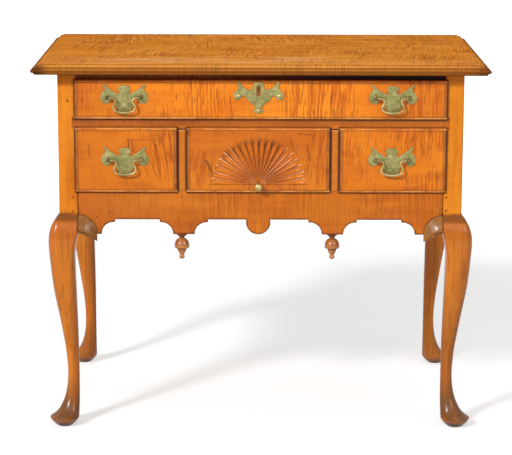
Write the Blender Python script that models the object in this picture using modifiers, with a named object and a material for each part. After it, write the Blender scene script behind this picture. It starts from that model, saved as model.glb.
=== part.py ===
"""Dressing table in curly maple, with one long drawer over three short ones.

Four cabriole legs run up as the corner posts of the case. The drawers have lips
that overlap the case, the middle one is carved with a fan, and brass pulls swing
on their posts. Metres: X to the right, Y to the back, Z up. The origin lies on
the floor under the middle of the whole piece.
"""

import math

import bmesh
import bpy
from mathutils import Matrix, Vector

# Whole piece
TABLE_HEIGHT = 0.762
CASE_WIDTH = 0.824
CASE_DEPTH = 0.497
POST = 0.039
SEAT = 0.0003  # gap between pieces that touch

# Top board
TOP_THICKNESS = 0.020
TOP_SIDE_OVERHANG = 0.050
TOP_FRONT_OVERHANG = 0.0413
TOP_BACK_OVERHANG = 0.010
TOP_MOULDING = 0.0185  # run of the moulded edge
TOP_UNDERCUT = 0.008
# Share of the run and share of the thickness, from the top face down to the undercut
TOP_PROFILE = (
    (1.0, 0.0), (0.975, 0.045), (0.78, 0.085), (0.60, 0.16), (0.45, 0.265), (0.35, 0.39),
    (0.33, 0.435), (0.22, 0.41), (0.10, 0.44), (0.02, 0.505), (0.0, 0.59), (0.03, 0.68),
    (0.11, 0.75), (0.22, 0.78), (0.346, 0.87),
)

# Front frame, from the top down
FRONT_SHIFT = -0.0045  # the carved front lies a little left of the case's middle
TOP_RAIL = 0.0165
UPPER_OPENING = 0.0745
MID_RAIL = 0.0225
LOWER_OPENING = 0.1285
RAIL_DEPTH = 0.060
TOP_RAIL_SETBACK = 0.003
RAIL_LAP = 0.010  # how far the mid rail's ends show on the posts
RAIL_LAP_DEPTH = 0.012
CENTRE_OPENING = 0.2824
DIVIDER = 0.0288
DIVIDER_DEPTH = 0.045
APRON_THICKNESS = 0.019

# Panels and their joints
SIDE_THICKNESS = 0.017
BACK_THICKNESS = 0.015
BACK_RECESS = 0.002
TENON = 0.016
TENON_THICKNESS = 0.007
TENON_SHOULDER = 0.020  # at the ends of the side and back panels
APRON_SHOULDER = 0.008
TOP_RAIL_STUB = 0.010, 0.030  # from the front to the near and far faces of its stub
TOP_RAIL_SHOULDER = 0.004
STUB_WIDTH = 0.016  # of a divider's stubs
STUB_THICKNESS = 0.009
STUB_SETBACK = 0.005
STUB_LENGTH = 0.008
WELD = 0.001  # how far a shape sinks into the one it is joined to

# Scrolled lower edge of the apron and side panels
EDGE_FLAT_DEPTH = 0.0603  # of the straight runs, below the apron's top
EDGE_LOW_DEPTH = 0.0911  # of the lobes' lowest points
EDGE_STEP = 0.0057
EDGE_STEP_RUN = 0.0025
LOBE_RADIUS = 0.025
TAB_CENTRE = 0.1525
DROP_LEFT_SHIFT = 0.0045  # how far each drop sits left of its tab's middle
DROP_RIGHT_SHIFT = 0.0005
TAB_WIDTH = 0.044
BRACKET = 0.0515  # lobe beside each post
SIDE_BRACKET = 0.050

# Cabriole legs
KNEE_DROP = 0.049  # from the apron's top to the knee's
KNEE_DEPTH = 0.251
KNEE_REACH = 0.0231
ANKLE = 0.095
FOOT_RIM = 0.0185
FOOT_CONTACT = 0.015  # radius of the flat that stands on the floor
FOOT_CURL = 1.6  # how round the pad's underside is; 1 is a cone
# Each curve of a leg has three parts: the foot by height above the floor, the shank by
# share of its length, and the knee by depth below its top.
# Distance out from the post's outer face
LEG_OUTER = (
    (
        (FOOT_RIM, 0.0266), (0.0225, 0.0192), (0.031, 0.0098), (0.041, 0.0036),
        (0.055, -0.0026), (0.075, -0.0076), (ANKLE, -0.0098),
    ),
    ((0.19, -0.0103), (0.43, -0.0088), (0.71, -0.0056)),
    (
        (KNEE_DEPTH, -0.0008), (0.221, 0.0040), (0.191, 0.0093), (0.161, 0.0142), (0.131, 0.0179),
        (0.101, 0.0204), (0.071, 0.0226), (0.056, KNEE_REACH), (0.043, 0.0220), (0.031, 0.0193),
        (0.019, 0.0142), (0.0075, 0.0066), (0.0, 0.0),
    ),
)
LEG_INNER = (
    ((FOOT_RIM, -0.0338), (0.055, -0.0344)),
    ((0.43, -0.0344),),
    (
        (KNEE_DEPTH, -0.0339), (0.161, -0.0320), (0.091, -0.0305), (0.073, -0.0310),
        (0.059, -0.0332), (0.046, -0.0365), (0.035, -0.0388), (0.027, -POST), (0.0, -POST),
    ),
)
# Corner radius as a share of half the section's width
LEG_ROUND = (
    ((FOOT_RIM, 1.0),),
    ((0.52, 1.0),),
    ((0.201, 0.85), (0.111, 0.60), (0.061, 0.32), (0.036, 0.10), (0.0, 0.05)),
)
LEG_ROUND_OUTER = (
    ((FOOT_RIM, 1.0),),
    ((0.52, 1.0),),
    ((0.201, 0.92), (0.051, 0.70), (0.011, 0.35), (0.0, 0.05)),
)
KNEE_STEP = 0.0095  # between sections over the knee
POST_ROUND = 0.05
SECTION_POINTS = 20  # around a leg

# Knee blocks
BLOCK_REACH = 0.0380
BLOCK_DEPTH = 0.0565  # of its outer end, below the knee's top
BLOCK_RISE = 0.0200  # how much higher its underside meets the leg
BLOCK_SHOULDER_DEPTH = 0.046
BLOCK_SETBACK = 0.0008  # from the knee's swell back to the block's
BLOCK_OVAL = 0.0400, 0.0440  # half axes of its upper outline
BLOCK_EDGE = 0.0020
# Share of the height, and share of the swell: a bead runs along the lower edge
BLOCK_BEAD = ((0.0, 0.84), (0.03, 0.90), (0.075, 0.91), (0.105, 0.85), (0.135, 0.93), (0.20, 0.98))

# Drawers
LIP_OVERLAP_X = 0.006
LIP_OVERLAP_Z = 0.0036
LIP_THICKNESS = 0.0075
THUMB_RUN = 0.0062  # width of the rounded edge of a lip
THUMB_STEP = 0.0011
THUMB_FALL = 0.0046
THUMB_FACETS = 4
FRONT_BODY = 0.015
DRAWER_SIDE_CLEAR = 0.0012
DRAWER_TOP_CLEAR = 0.002
DRAWER_BACK_CLEAR = 0.012
DRAWER_SIDE = 0.010
DRAWER_BACK = 0.010
DRAWER_BOTTOM = 0.007
BOTTOM_RISE = 0.006
GROOVE = 0.005
BACK_DROP = 0.006  # the drawer back stops below the sides

# Runners
RUNNER_THICKNESS = 0.018
RUNNER_WIDTH = 0.030
MEDIAL_LEDGE = 0.015  # each side of a middle runner's guide
GUIDE_HEIGHT = 0.018

# Turned drops under the apron
DROP_DOWEL = 0.004
DROP_DOWEL_LENGTH = 0.014
DROP_CLEAR = 0.0003
# Radius and depth below the apron
DROP_PROFILE = (
    (0.0114, -0.0003), (0.0106, -0.0026), (0.0070, -0.0058), (0.0049, -0.0080), (0.0062, -0.0098),
    (0.0108, -0.0128), (0.0139, -0.0177), (0.0154, -0.0232), (0.0155, -0.0272), (0.0144, -0.0298),
    (0.0101, -0.0303), (0.0090, -0.0352), (0.0066, -0.0402), (0.0045, -0.0445), (0.0056, -0.0478),
    (0.0052, -0.0505), (0.0032, -0.0527),
)
DROP_LENGTH = 0.0533

# Fan
FAN_RADIUS = 0.097
FAN_HUB = 0.020
FAN_RISE = 0.0185  # centre above the lip's lower edge
FAN_RAYS = 20
FAN_DEPTH = 0.0034
FAN_FACETS = 5  # across each hollow
FAN_RIDGE = 0.0009  # left standing between two rays at the rim

# Brasses
PULL_INSET = 0.1016  # of the pulls' middles, from the posts' inner faces
UPPER_PULL_RISE = 0.00525  # of the posts, above the middle of their drawer's opening
LOWER_PULL_RISE = 0.00175
PLATE_THICKNESS = 0.0016
POST_SPREAD = 0.034
BAIL_STANDOFF = 0.0085
BAIL_WIRE = 0.0021
BAIL_PIN = 0.0015
BAIL_SHOULDER = 0.0006  # length of the step from the wire down to its pin
PULL_POST = 0.0037
PULL_POST_TIP = 0.0035  # past the pin's middle
PIN_CLEAR = 0.0003
# Half of each outline, from its top middle round to its bottom middle
PLATE_HALF = (
    (0.0000, 0.0242), (0.0065, 0.0236), (0.0110, 0.0206), (0.0122, 0.0166), (0.0100, 0.0124),
    (0.0084, 0.0098), (0.0104, 0.0078), (0.0146, 0.0074), (0.0195, 0.0104), (0.0265, 0.0150),
    (0.0335, 0.0206), (0.0385, 0.0256), (0.0425, 0.0260), (0.0422, 0.0215), (0.0411, 0.0170),
    (0.0440, 0.0122), (0.0474, 0.0060), (0.0484, -0.0008), (0.0466, -0.0076), (0.0415, -0.0122),
    (0.0360, -0.0128), (0.0310, -0.0100), (0.0270, -0.0046), (0.0215, -0.0034), (0.0178, -0.0042),
    (0.0164, -0.0070), (0.0172, -0.0125), (0.0164, -0.0190), (0.0142, -0.0245), (0.0108, -0.0284),
    (0.0060, -0.0310), (0.0030, -0.0334), (0.0000, -0.0364),
)
ESCUTCHEON_HALF = (
    (0.0000, 0.0284), (0.0036, 0.0312), (0.0076, 0.0308), (0.0104, 0.0264), (0.0116, 0.0200),
    (0.0134, 0.0154), (0.0180, 0.0154), (0.0245, 0.0176), (0.0310, 0.0216), (0.0360, 0.0276),
    (0.0390, 0.0318), (0.0422, 0.0312), (0.0418, 0.0254), (0.0436, 0.0184), (0.0476, 0.0112),
    (0.0508, 0.0044), (0.0494, -0.0022), (0.0440, -0.0054), (0.0376, -0.0032), (0.0332, 0.0016),
    (0.0286, 0.0028), (0.0246, -0.0012), (0.0224, -0.0066), (0.0156, -0.0104), (0.0104, -0.0150),
    (0.0066, -0.0200), (0.0050, -0.0226), (0.0096, -0.0256), (0.0098, -0.0284), (0.0052, -0.0314),
    (0.0000, -0.0344),
)
BAIL_HALF = (
    (0.0300, 0.0), (0.0218, -0.0010), (0.0170, -0.0058), (0.0192, -0.0126), (0.0222, -0.0190),
    (0.0200, -0.0254), (0.0108, -0.0292), (0.0000, -0.0302),
)
BAIL_PIN_END = 0.0360
KEYHOLE_DEPTH = 0.0110  # of its eye, below the top of the drawer
ESCUTCHEON_DROP = 0.0185  # from the eye to the middle of the plate
KEYHOLE_RADIUS = 0.0030
KEYHOLE_DROP = 0.0110
KEYHOLE_SLOT = 0.0032
KEY_WINDOW = 0.0066  # width of the opening in the keyhole plate
KEY_WINDOW_HEIGHT = 0.0215
KNOB_RISE = 0.0145  # above the lip's lower edge
KNOB_SHANK = 0.0026
KNOB_SHANK_LENGTH = 0.014
KNOB_CLEAR = 0.0003
# Radius and height above the drawer's face
KNOB_PROFILE = (
    (0.0035, 0.0172), (0.0062, 0.0155), (0.0077, 0.0128), (0.0079, 0.0105), (0.0068, 0.0080),
    (0.0043, 0.0062), (0.0036, 0.0045), (0.0050, 0.0030), (0.0066, 0.0020), (0.0066, 0.0003),
)
KNOB_HEIGHT = 0.0177

# Lock of the long drawer
LOCK_WIDTH = 0.060
LOCK_HEIGHT = 0.042
LOCK_DEPTH = 0.010
BOLT_WIDTH = 0.020
BOLT_THICKNESS = 0.004
BOLT_HEIGHT = 0.022
BOLT_CLEAR = 0.0003
BOLT_TRAVEL = 0.006
LOCK_PLATE = 0.003  # wall between the keyhole's mouth and the bolt
MORTISE_CLEAR = 0.001
PAST = 0.002  # how far a cutter reaches beyond the face it opens

# Name, colour, roughness and metallic value of each finish
MAPLE = "curly_maple", (0.56, 0.22, 0.045), 0.35, 0.0
TOP_MAPLE = "top_maple", (0.44, 0.17, 0.04), 0.28, 0.0
PINE = "pine", (0.55, 0.36, 0.17), 0.7, 0.0
BRASS = "aged_brass", (0.55, 0.45, 0.20), 0.38, 1.0
IRON = "iron", (0.10, 0.09, 0.08), 0.6, 1.0

# Places worked out from the sizes above
LEG_REACH = max(out for part in LEG_OUTER for _, out in part)
OVERALL_DEPTH = TOP_FRONT_OVERHANG + CASE_DEPTH + LEG_REACH
FRONT = TOP_FRONT_OVERHANG - OVERALL_DEPTH / 2
BACK = FRONT + CASE_DEPTH
HALF_WIDTH = CASE_WIDTH / 2
INNER = HALF_WIDTH - POST
TOP_UNDERSIDE = TABLE_HEIGHT - TOP_THICKNESS
TOP_RAIL_LOW = TOP_UNDERSIDE - TOP_RAIL
MID_RAIL_TOP = TOP_RAIL_LOW - UPPER_OPENING
MID_RAIL_LOW = MID_RAIL_TOP - MID_RAIL
APRON_TOP = MID_RAIL_LOW - LOWER_OPENING
EDGE_FLAT = APRON_TOP - EDGE_FLAT_DEPTH
EDGE_LOW = APRON_TOP - EDGE_LOW_DEPTH
KNEE_TOP = APRON_TOP - KNEE_DROP
BLOCK_LOW = KNEE_TOP - BLOCK_DEPTH
BLOCK_SHOULDER = KNEE_TOP - BLOCK_SHOULDER_DEPTH
BACK_FACE = BACK - BACK_RECESS - BACK_THICKNESS
FACE = FRONT - SEAT - LIP_THICKNESS  # front of the drawers
PULL_SPREAD = INNER - PULL_INSET  # on each side of the front's middle
INNER_OPENING = FRONT_SHIFT - CENTRE_OPENING / 2, FRONT_SHIFT + CENTRE_OPENING / 2
LOWER_LIP = APRON_TOP - LIP_OVERLAP_Z
UPPER_PULL_Z = (MID_RAIL_TOP + TOP_RAIL_LOW) / 2 + UPPER_PULL_RISE
LOWER_PULL_Z = (APRON_TOP + MID_RAIL_LOW) / 2 + LOWER_PULL_RISE
KEYHOLE_Z = TOP_RAIL_LOW - DRAWER_TOP_CLEAR - KEYHOLE_DEPTH
ESCUTCHEON_Z = KEYHOLE_Z - ESCUTCHEON_DROP


def start_scene():
    """Empties the scene and returns the two collections."""
    for old in list(bpy.data.objects):
        bpy.data.objects.remove(old)
    made = []
    for name in ("dressing_table", "cutters"):
        collection = bpy.data.collections.new(name)
        bpy.context.scene.collection.children.link(collection)
        made.append(collection)
    return made


PARTS, CUTTERS = start_scene()


def give_material(obj, finish):
    """Gives an object a Principled material of its own."""
    word, colour, roughness, metallic = finish
    made = bpy.data.materials.new(f"{obj.name}_{word}")
    made.use_nodes = True
    shader = made.node_tree.nodes["Principled BSDF"]
    shader.inputs["Base Color"].default_value = (*colour, 1.0)
    shader.inputs["Roughness"].default_value = roughness
    shader.inputs["Metallic"].default_value = metallic
    made.diffuse_color = (*colour, 1.0)
    obj.data.materials.clear()
    obj.data.materials.append(made)


def place(obj, finish=None, collection=None):
    """Puts an object in its collection, with its material."""
    for old in list(obj.users_collection):
        old.objects.unlink(obj)
    (collection or PARTS).objects.link(obj)
    if finish:
        give_material(obj, finish)
    return obj


def as_cutter(obj):
    """Marks an object as a helper that isn't part of the piece."""
    obj.hide_render = True
    obj.display_type = "WIRE"
    return obj


def from_bmesh(name, bm, finish=None, collection=None):
    """Makes an object of a bmesh, facing out."""
    bmesh.ops.recalc_face_normals(bm, faces=bm.faces)
    mesh = bpy.data.meshes.new(name)
    bm.to_mesh(mesh)
    bm.free()
    return place(bpy.data.objects.new(name, mesh), finish, collection)


def box_bmesh(low, high):
    """A bmesh box between two corners."""
    low, high = Vector(low), Vector(high)
    bm = bmesh.new()
    size = Matrix.Diagonal((*(high - low), 1.0))
    bmesh.ops.create_cube(bm, size=1.0, matrix=Matrix.Translation((low + high) / 2) @ size)
    return bm


def box(name, low, high, finish):
    return from_bmesh(name, box_bmesh(low, high), finish)


def cutter_box(name, low, high):
    return as_cutter(from_bmesh(name, box_bmesh(low, high), None, CUTTERS))


def cutter_rod(name, start, end, radius, segments=12):
    """A round cutter between two points."""
    start, end = Vector(start), Vector(end)
    turn = (end - start).to_track_quat("Z", "Y").to_matrix().to_4x4()
    bm = bmesh.new()
    bmesh.ops.create_cone(
        bm,
        cap_ends=True,
        segments=segments,
        radius1=radius,
        radius2=radius,
        depth=(end - start).length,
        matrix=Matrix.Translation((start + end) / 2) @ turn,
    )
    return as_cutter(from_bmesh(name, bm, None, CUTTERS))


def boolean(piece, other, operation):
    """Cuts or joins another mesh with the exact solver."""
    step = piece.modifiers.new(f"{operation.lower()}_{other.name}"[:60], "BOOLEAN")
    step.operation = operation
    step.solver = "EXACT"
    step.object = other


def cut(piece, other):
    boolean(piece, other, "DIFFERENCE")


def fuse(piece, other):
    boolean(piece, other, "UNION")


def grown(low, high, margin):
    """A box's two corners, moved out by a margin."""
    return [a - margin for a in low], [b + margin for b in high]


def loft(name, rings, finish, collection=None):
    """Skins closed rings of equal counts and caps both ends."""
    bm = bmesh.new()
    layers = [[bm.verts.new(point) for point in ring] for ring in rings]
    for lower, upper in zip(layers, layers[1:]):
        for i in range(len(lower)):
            j = (i + 1) % len(lower)
            bm.faces.new((lower[i], lower[j], upper[j], upper[i]))
    bm.faces.new(layers[0])
    bm.faces.new(layers[-1])
    return from_bmesh(name, bm, finish, collection)


def smooth(obj, degrees=35):
    """Shades a round piece smooth, except over its edges."""
    obj.data.shade_smooth()
    obj.data.set_sharp_from_angle(angle=math.radians(degrees))
    return obj


def through(stations, at):
    """Value at a height on a smooth line through stations of height and value."""
    heights = [station[0] for station in stations]
    values = [station[1] for station in stations]
    last = len(stations) - 1
    k = max(i for i in range(last) if heights[i] <= at or i == 0)

    def slope(i):
        a, b = max(i - 1, 0), min(i + 1, last)
        return (values[b] - values[a]) / (heights[b] - heights[a])

    span = heights[k + 1] - heights[k]
    t = (at - heights[k]) / span
    return (
        values[k] * (2 * t**3 - 3 * t**2 + 1)
        + slope(k) * span * (t**3 - 2 * t**2 + t)
        + values[k + 1] * (3 * t**2 - 2 * t**3)
        + slope(k + 1) * span * (t**3 - t**2)
    )


def arc(centre, radius, start, end, steps):
    """Points on an arc in a plane, angles in degrees."""
    angles = [math.radians(start + (end - start) * i / steps) for i in range(steps + 1)]
    return [(centre[0] + radius * math.cos(a), centre[1] + radius * math.sin(a)) for a in angles]


def curved(points, steps):
    """Points on a smooth curve through a few points of a plane."""
    last = len(points) - 1
    made = []
    for i in range(last):
        a, b, c, d = (Vector(points[min(max(i + k, 0), last)]) for k in (-1, 0, 1, 2))
        for j in range(steps):
            t = j / steps
            cubic = (3 * b - a - 3 * c + d) * t**3
            made.append(0.5 * (2 * b + (c - a) * t + (2 * a - 5 * b + 4 * c - d) * t**2 + cubic))
    return made + [Vector(points[-1])]


def plate(name, loops, thickness, finish, matrix):
    """A flat outline of one or more loops, given its thickness and made a mesh."""
    curve = bpy.data.curves.new(name + "_outline", "CURVE")
    curve.dimensions = "2D"
    curve.fill_mode = "BOTH"
    curve.extrude = thickness / 2
    for loop in loops:
        spline = curve.splines.new("POLY")
        spline.points.add(len(loop) - 1)
        for point, place_of in zip(spline.points, loop):
            point.co = (place_of[0], place_of[1], 0.0, 1.0)
        spline.use_cyclic_u = True
    drawn = bpy.data.objects.new(name + "_outline", curve)
    CUTTERS.objects.link(drawn)
    bpy.context.view_layer.update()
    graph = bpy.context.evaluated_depsgraph_get()
    mesh = bpy.data.meshes.new_from_object(drawn.evaluated_get(graph))
    bpy.data.objects.remove(drawn)
    bm = bmesh.new()
    bm.from_mesh(mesh)
    bpy.data.meshes.remove(mesh)
    bmesh.ops.remove_doubles(bm, verts=bm.verts, dist=1e-6)
    obj = from_bmesh(name, bm, finish)
    obj.matrix_world = matrix
    return obj


def turned(name, profile, segments, finish, collection=None):
    """Turns a profile of radius and height about the object's Z axis."""
    mesh = bpy.data.meshes.new(name)
    points = [(radius, 0.0, height) for radius, height in profile]
    mesh.from_pydata(points, [(i, i + 1) for i in range(len(points) - 1)], [])
    obj = place(bpy.data.objects.new(name, mesh), finish, collection)
    screw = obj.modifiers.new("turn", "SCREW")
    screw.steps = segments
    screw.render_steps = segments
    screw.use_merge_vertices = True
    screw.merge_threshold = 0.00001
    screw.use_smooth_shade = True
    return obj


def facing_front(place_at):
    """Turns a shape drawn in a plane so that it faces the front."""
    return Matrix.Translation(place_at) @ Matrix.Rotation(math.radians(90), 4, "X")


def facing_side(place_at):
    """Turns a shape drawn in a plane so that its length runs to the back."""
    turn = Matrix.Rotation(math.radians(90), 4, "Z") @ Matrix.Rotation(math.radians(90), 4, "X")
    return Matrix.Translation(place_at) @ turn


def top_board():
    """Top with a thumb-and-bead edge on the front and both ends."""
    profile = [(TOP_MOULDING * run, TOP_THICKNESS * depth) for run, depth in TOP_PROFILE]
    profile.append((TOP_UNDERCUT, TOP_THICKNESS))
    half = HALF_WIDTH + TOP_SIDE_OVERHANG
    front = FRONT - TOP_FRONT_OVERHANG
    back = BACK + TOP_BACK_OVERHANG
    rings = []
    for inset, depth in profile:
        x, y, z = half - inset, front + inset, TABLE_HEIGHT - depth
        rings.append([(-x, y, z), (x, y, z), (x, back, z), (-x, back, z)])
    return loft("top_board", rings, TOP_MAPLE)


def rounded_square(middle, half, outer_round, inner_round):
    """A leg's section, in distances out from the post's two outer faces."""
    points = []
    for k in range(SECTION_POINTS):
        angle = 2 * math.pi * (k + 0.5) / SECTION_POINTS
        across, along = math.cos(angle), math.sin(angle)
        a, b = abs(across), abs(along)
        radius = half * (outer_round if across > 0 and along > 0 else inner_round)
        core = half - radius
        reach = half / max(a, b)
        if reach * min(a, b) > core:
            reach = core * (a + b) + math.sqrt(radius**2 - (core * (a - b)) ** 2)
        points.append((middle + reach * across, middle + reach * along))
    return points


def leg_heights():
    """Heights of a leg's sections, closest at the knee and the foot."""
    knee = [KNEE_TOP - KNEE_STEP * i for i in range(1, 8)]
    shank = [knee[-1] + (ANKLE - knee[-1]) * i / 8 for i in range(1, 8)]
    return knee + shank + [ANKLE, 0.073, 0.053, 0.039, 0.029, 0.0225, FOOT_RIM]


def along_leg(curve, z):
    """Value of one of a leg's curves at a height."""
    foot, shank, knee = curve
    length = KNEE_TOP - KNEE_DEPTH - ANKLE
    stations = [*foot, *((ANKLE + length * share, value) for share, value in shank)]
    return through(stations + [(KNEE_TOP - depth, value) for depth, value in knee], z)


def leg(name, side, end):
    """A corner post, its cabriole leg and pad foot, of one piece.

    side is -1 at the left and 1 at the right, end is -1 at the front and 1 at the back.
    """
    half_post = POST / 2
    sections = [(z, -half_post, half_post, POST_ROUND, POST_ROUND) for z in (TOP_UNDERSIDE - SEAT, KNEE_TOP)]
    for z in leg_heights():
        out, inside = along_leg(LEG_OUTER, z), along_leg(LEG_INNER, z)
        rounds = along_leg(LEG_ROUND_OUTER, z), along_leg(LEG_ROUND, z)
        sections.append((z, (out + inside) / 2, (out - inside) / 2, *(min(r, 1.0) for r in rounds)))
    middle, rim = sections[-1][1:3]
    for share in (0.35, 0.70, 1.0):
        across = FOOT_CONTACT + (rim - FOOT_CONTACT) * (1 - share**FOOT_CURL)
        sections.append((FOOT_RIM * (1 - share), middle, across, 1.0, 1.0))
    rings = []
    for z, middle, half, outer_round, inner_round in sections:
        flat = rounded_square(middle, half, outer_round, inner_round)
        corner_y = FRONT if end < 0 else BACK
        rings.append([(side * (HALF_WIDTH + a), corner_y + end * b, z) for a, b in flat])
    return smooth(loft(name, rings, MAPLE), 50)


def knee_block(name, side, end, on_side):
    """The block that carries the knee's swell on to the apron or side panel."""
    rings = []
    for share in (0.0, 0.2, 0.4, 0.58, 0.74, 0.87, 0.96, 1.0):
        along = BLOCK_REACH * share
        low = BLOCK_LOW + BLOCK_RISE * (1 - share**1.25)
        high = BLOCK_SHOULDER + BLOCK_OVAL[1] * math.sqrt(1 - (along / BLOCK_OVAL[0]) ** 2)
        fade = (1 - share**2) ** 0.7
        outline = [(0.0, low)]
        for rise, fullness in (*BLOCK_BEAD, *((i / 10, 1.0) for i in range(3, 11))):
            at_leg = BLOCK_LOW + BLOCK_RISE + (KNEE_TOP - BLOCK_LOW - BLOCK_RISE) * rise
            swell = fullness * fade * max(along_leg(LEG_OUTER, at_leg) - BLOCK_SETBACK, 0.0)
            outline.append((max(swell, BLOCK_EDGE), low + (high - low) * rise))
        outline.append((0.0, high))
        points = []
        for out, z in outline:
            if on_side:
                corner_y = FRONT if end < 0 else BACK
                y = corner_y - end * (POST + SEAT + along)
                points.append((side * (HALF_WIDTH + SEAT + out), y, z))
            else:
                points.append((side * (INNER - SEAT - along), FRONT - SEAT - out, z))
        rings.append(points)
    return smooth(loft(name, rings, MAPLE), 40)


def apron_edge():
    """Lower edge of the apron, left to right, with its lobe, tabs and brackets."""
    lobe_z = EDGE_LOW + LOBE_RADIUS
    high = EDGE_FLAT - EDGE_STEP
    radius = min(LOBE_RADIUS, high - EDGE_LOW)
    reach = TAB_CENTRE - TAB_WIDTH / 2, TAB_CENTRE + TAB_WIDTH / 2
    meet = math.degrees(math.asin((EDGE_FLAT - lobe_z) / LOBE_RADIUS))
    half = arc((0.0, lobe_z), LOBE_RADIUS, -90, meet, 7)
    start = reach[0] - radius
    half += [(start - EDGE_STEP_RUN, EDGE_FLAT), (start - EDGE_STEP_RUN, high)]
    half += arc((start, EDGE_LOW), radius, 90, 0, 5)
    finish = reach[1] + radius
    half += arc((finish, EDGE_LOW), radius, 180, 90, 5)
    half += [(finish + EDGE_STEP_RUN, high), (finish + EDGE_STEP_RUN, EDGE_FLAT)]
    bracket = INNER - BRACKET
    half += [(bracket - radius - EDGE_STEP_RUN, EDGE_FLAT), (bracket - radius - EDGE_STEP_RUN, high)]
    half += arc((bracket - radius, EDGE_LOW), radius, 90, 0, 5)
    end = INNER - SEAT
    left = [(FRONT_SHIFT - x, z) for x, z in reversed(half[1:])]
    right = [(FRONT_SHIFT + x, z) for x, z in half]
    return [(-end, EDGE_LOW)] + left + right + [(end, EDGE_LOW)]


def side_edge(length):
    """Lower edge of a side panel, front to back."""
    high = EDGE_FLAT - EDGE_STEP
    radius = min(LOBE_RADIUS, high - EDGE_LOW)
    start = SIDE_BRACKET + radius
    first = [(0.0, EDGE_LOW)] + arc((start, EDGE_LOW), radius, 180, 90, 5)
    first += [(start + EDGE_STEP_RUN, high), (start + EDGE_STEP_RUN, EDGE_FLAT)]
    return first + [(length - along, z) for along, z in reversed(first)]


def joint(piece, leg_piece, name, low, high):
    """A tenon on a piece, and the mortise for it in a leg."""
    fuse(piece, cutter_box(name + "_tenon", low, high))
    cut(leg_piece, cutter_box(name + "_mortise", *grown(low, high, SEAT)))


def carcass(legs):
    """Apron, rails, dividers, side panels and back, jointed to the legs."""
    edge = apron_edge()
    end = INNER - SEAT
    apron = plate(
        "front_skirt",
        [edge + [(end, APRON_TOP), (-end, APRON_TOP)]],
        APRON_THICKNESS,
        MAPLE,
        facing_front((0.0, FRONT + APRON_THICKNESS / 2, 0.0)),
    )
    rail = box(
        "mid_rail", (-end, FRONT, MID_RAIL_LOW), (end, FRONT + RAIL_DEPTH, MID_RAIL_TOP), MAPLE
    )
    top_rail = box(
        "top_rail",
        (-end, FRONT + TOP_RAIL_SETBACK, TOP_RAIL_LOW),
        (end, FRONT + RAIL_DEPTH, TOP_UNDERSIDE - SEAT),
        MAPLE,
    )
    back_panel = box(
        "back_panel",
        (-end, BACK_FACE, EDGE_FLAT),
        (end, BACK_FACE + BACK_THICKNESS, TOP_UNDERSIDE - SEAT),
        PINE,
    )
    tenon_y = FRONT + (APRON_THICKNESS - TENON_THICKNESS) / 2
    back_y = BACK_FACE + (BACK_THICKNESS - TENON_THICKNESS) / 2
    for side, word in ((-1, "left"), (1, "right")):
        front_leg, rear_leg = legs[f"leg_front_{word}"], legs[f"leg_rear_{word}"]

        def across(first, second):
            return sorted((side * first, side * second))

        stub = across(end - WELD, end + TENON)
        joint(
            apron, front_leg, f"apron_{word}",
            (stub[0], tenon_y, KNEE_TOP + APRON_SHOULDER),
            (stub[1], tenon_y + TENON_THICKNESS, APRON_TOP - APRON_SHOULDER),
        )
        joint(
            back_panel, rear_leg, f"back_{word}",
            (stub[0], back_y, KNEE_TOP + TENON_SHOULDER),
            (stub[1], back_y + TENON_THICKNESS, TOP_UNDERSIDE - TENON_SHOULDER),
        )
        lap = across(end - WELD, end + RAIL_LAP)
        joint(
            rail, front_leg, f"rail_{word}",
            (lap[0], FRONT, MID_RAIL_LOW), (lap[1], FRONT + RAIL_LAP_DEPTH, MID_RAIL_TOP),
        )
        joint(
            top_rail, front_leg, f"top_rail_{word}",
            (lap[0], FRONT + TOP_RAIL_STUB[0], TOP_RAIL_LOW + TOP_RAIL_SHOULDER),
            (lap[1], FRONT + TOP_RAIL_STUB[1], TOP_UNDERSIDE - SEAT),
        )
        side_panel(side, word, front_leg, rear_leg)
    for word, centre in divider_centres():
        low_x, high_x = centre - DIVIDER / 2, centre + DIVIDER / 2
        divider = box(
            f"divider_{word}",
            (low_x, FRONT, APRON_TOP + SEAT),
            (high_x, FRONT + DIVIDER_DEPTH, MID_RAIL_LOW - SEAT),
            MAPLE,
        )
        # A stub at each end lets the divider into the rail and the apron.
        for other, z, way in ((rail, MID_RAIL_LOW, 1), (apron, APRON_TOP, -1)):
            ends = sorted((z - way * (SEAT + WELD), z + way * STUB_LENGTH))
            low = (centre - STUB_WIDTH / 2, FRONT + STUB_SETBACK, ends[0])
            high = (centre + STUB_WIDTH / 2, FRONT + STUB_SETBACK + STUB_THICKNESS, ends[1])
            fuse(divider, cutter_box(f"{divider.name}_{other.name}_stub", low, high))
            socket = grown(low, high, SEAT)
            cut(other, cutter_box(f"{divider.name}_{other.name}_socket", *socket))
    return apron


def divider_centres():
    away = CENTRE_OPENING / 2 + DIVIDER / 2
    return (("left", FRONT_SHIFT - away), ("right", FRONT_SHIFT + away))


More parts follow.
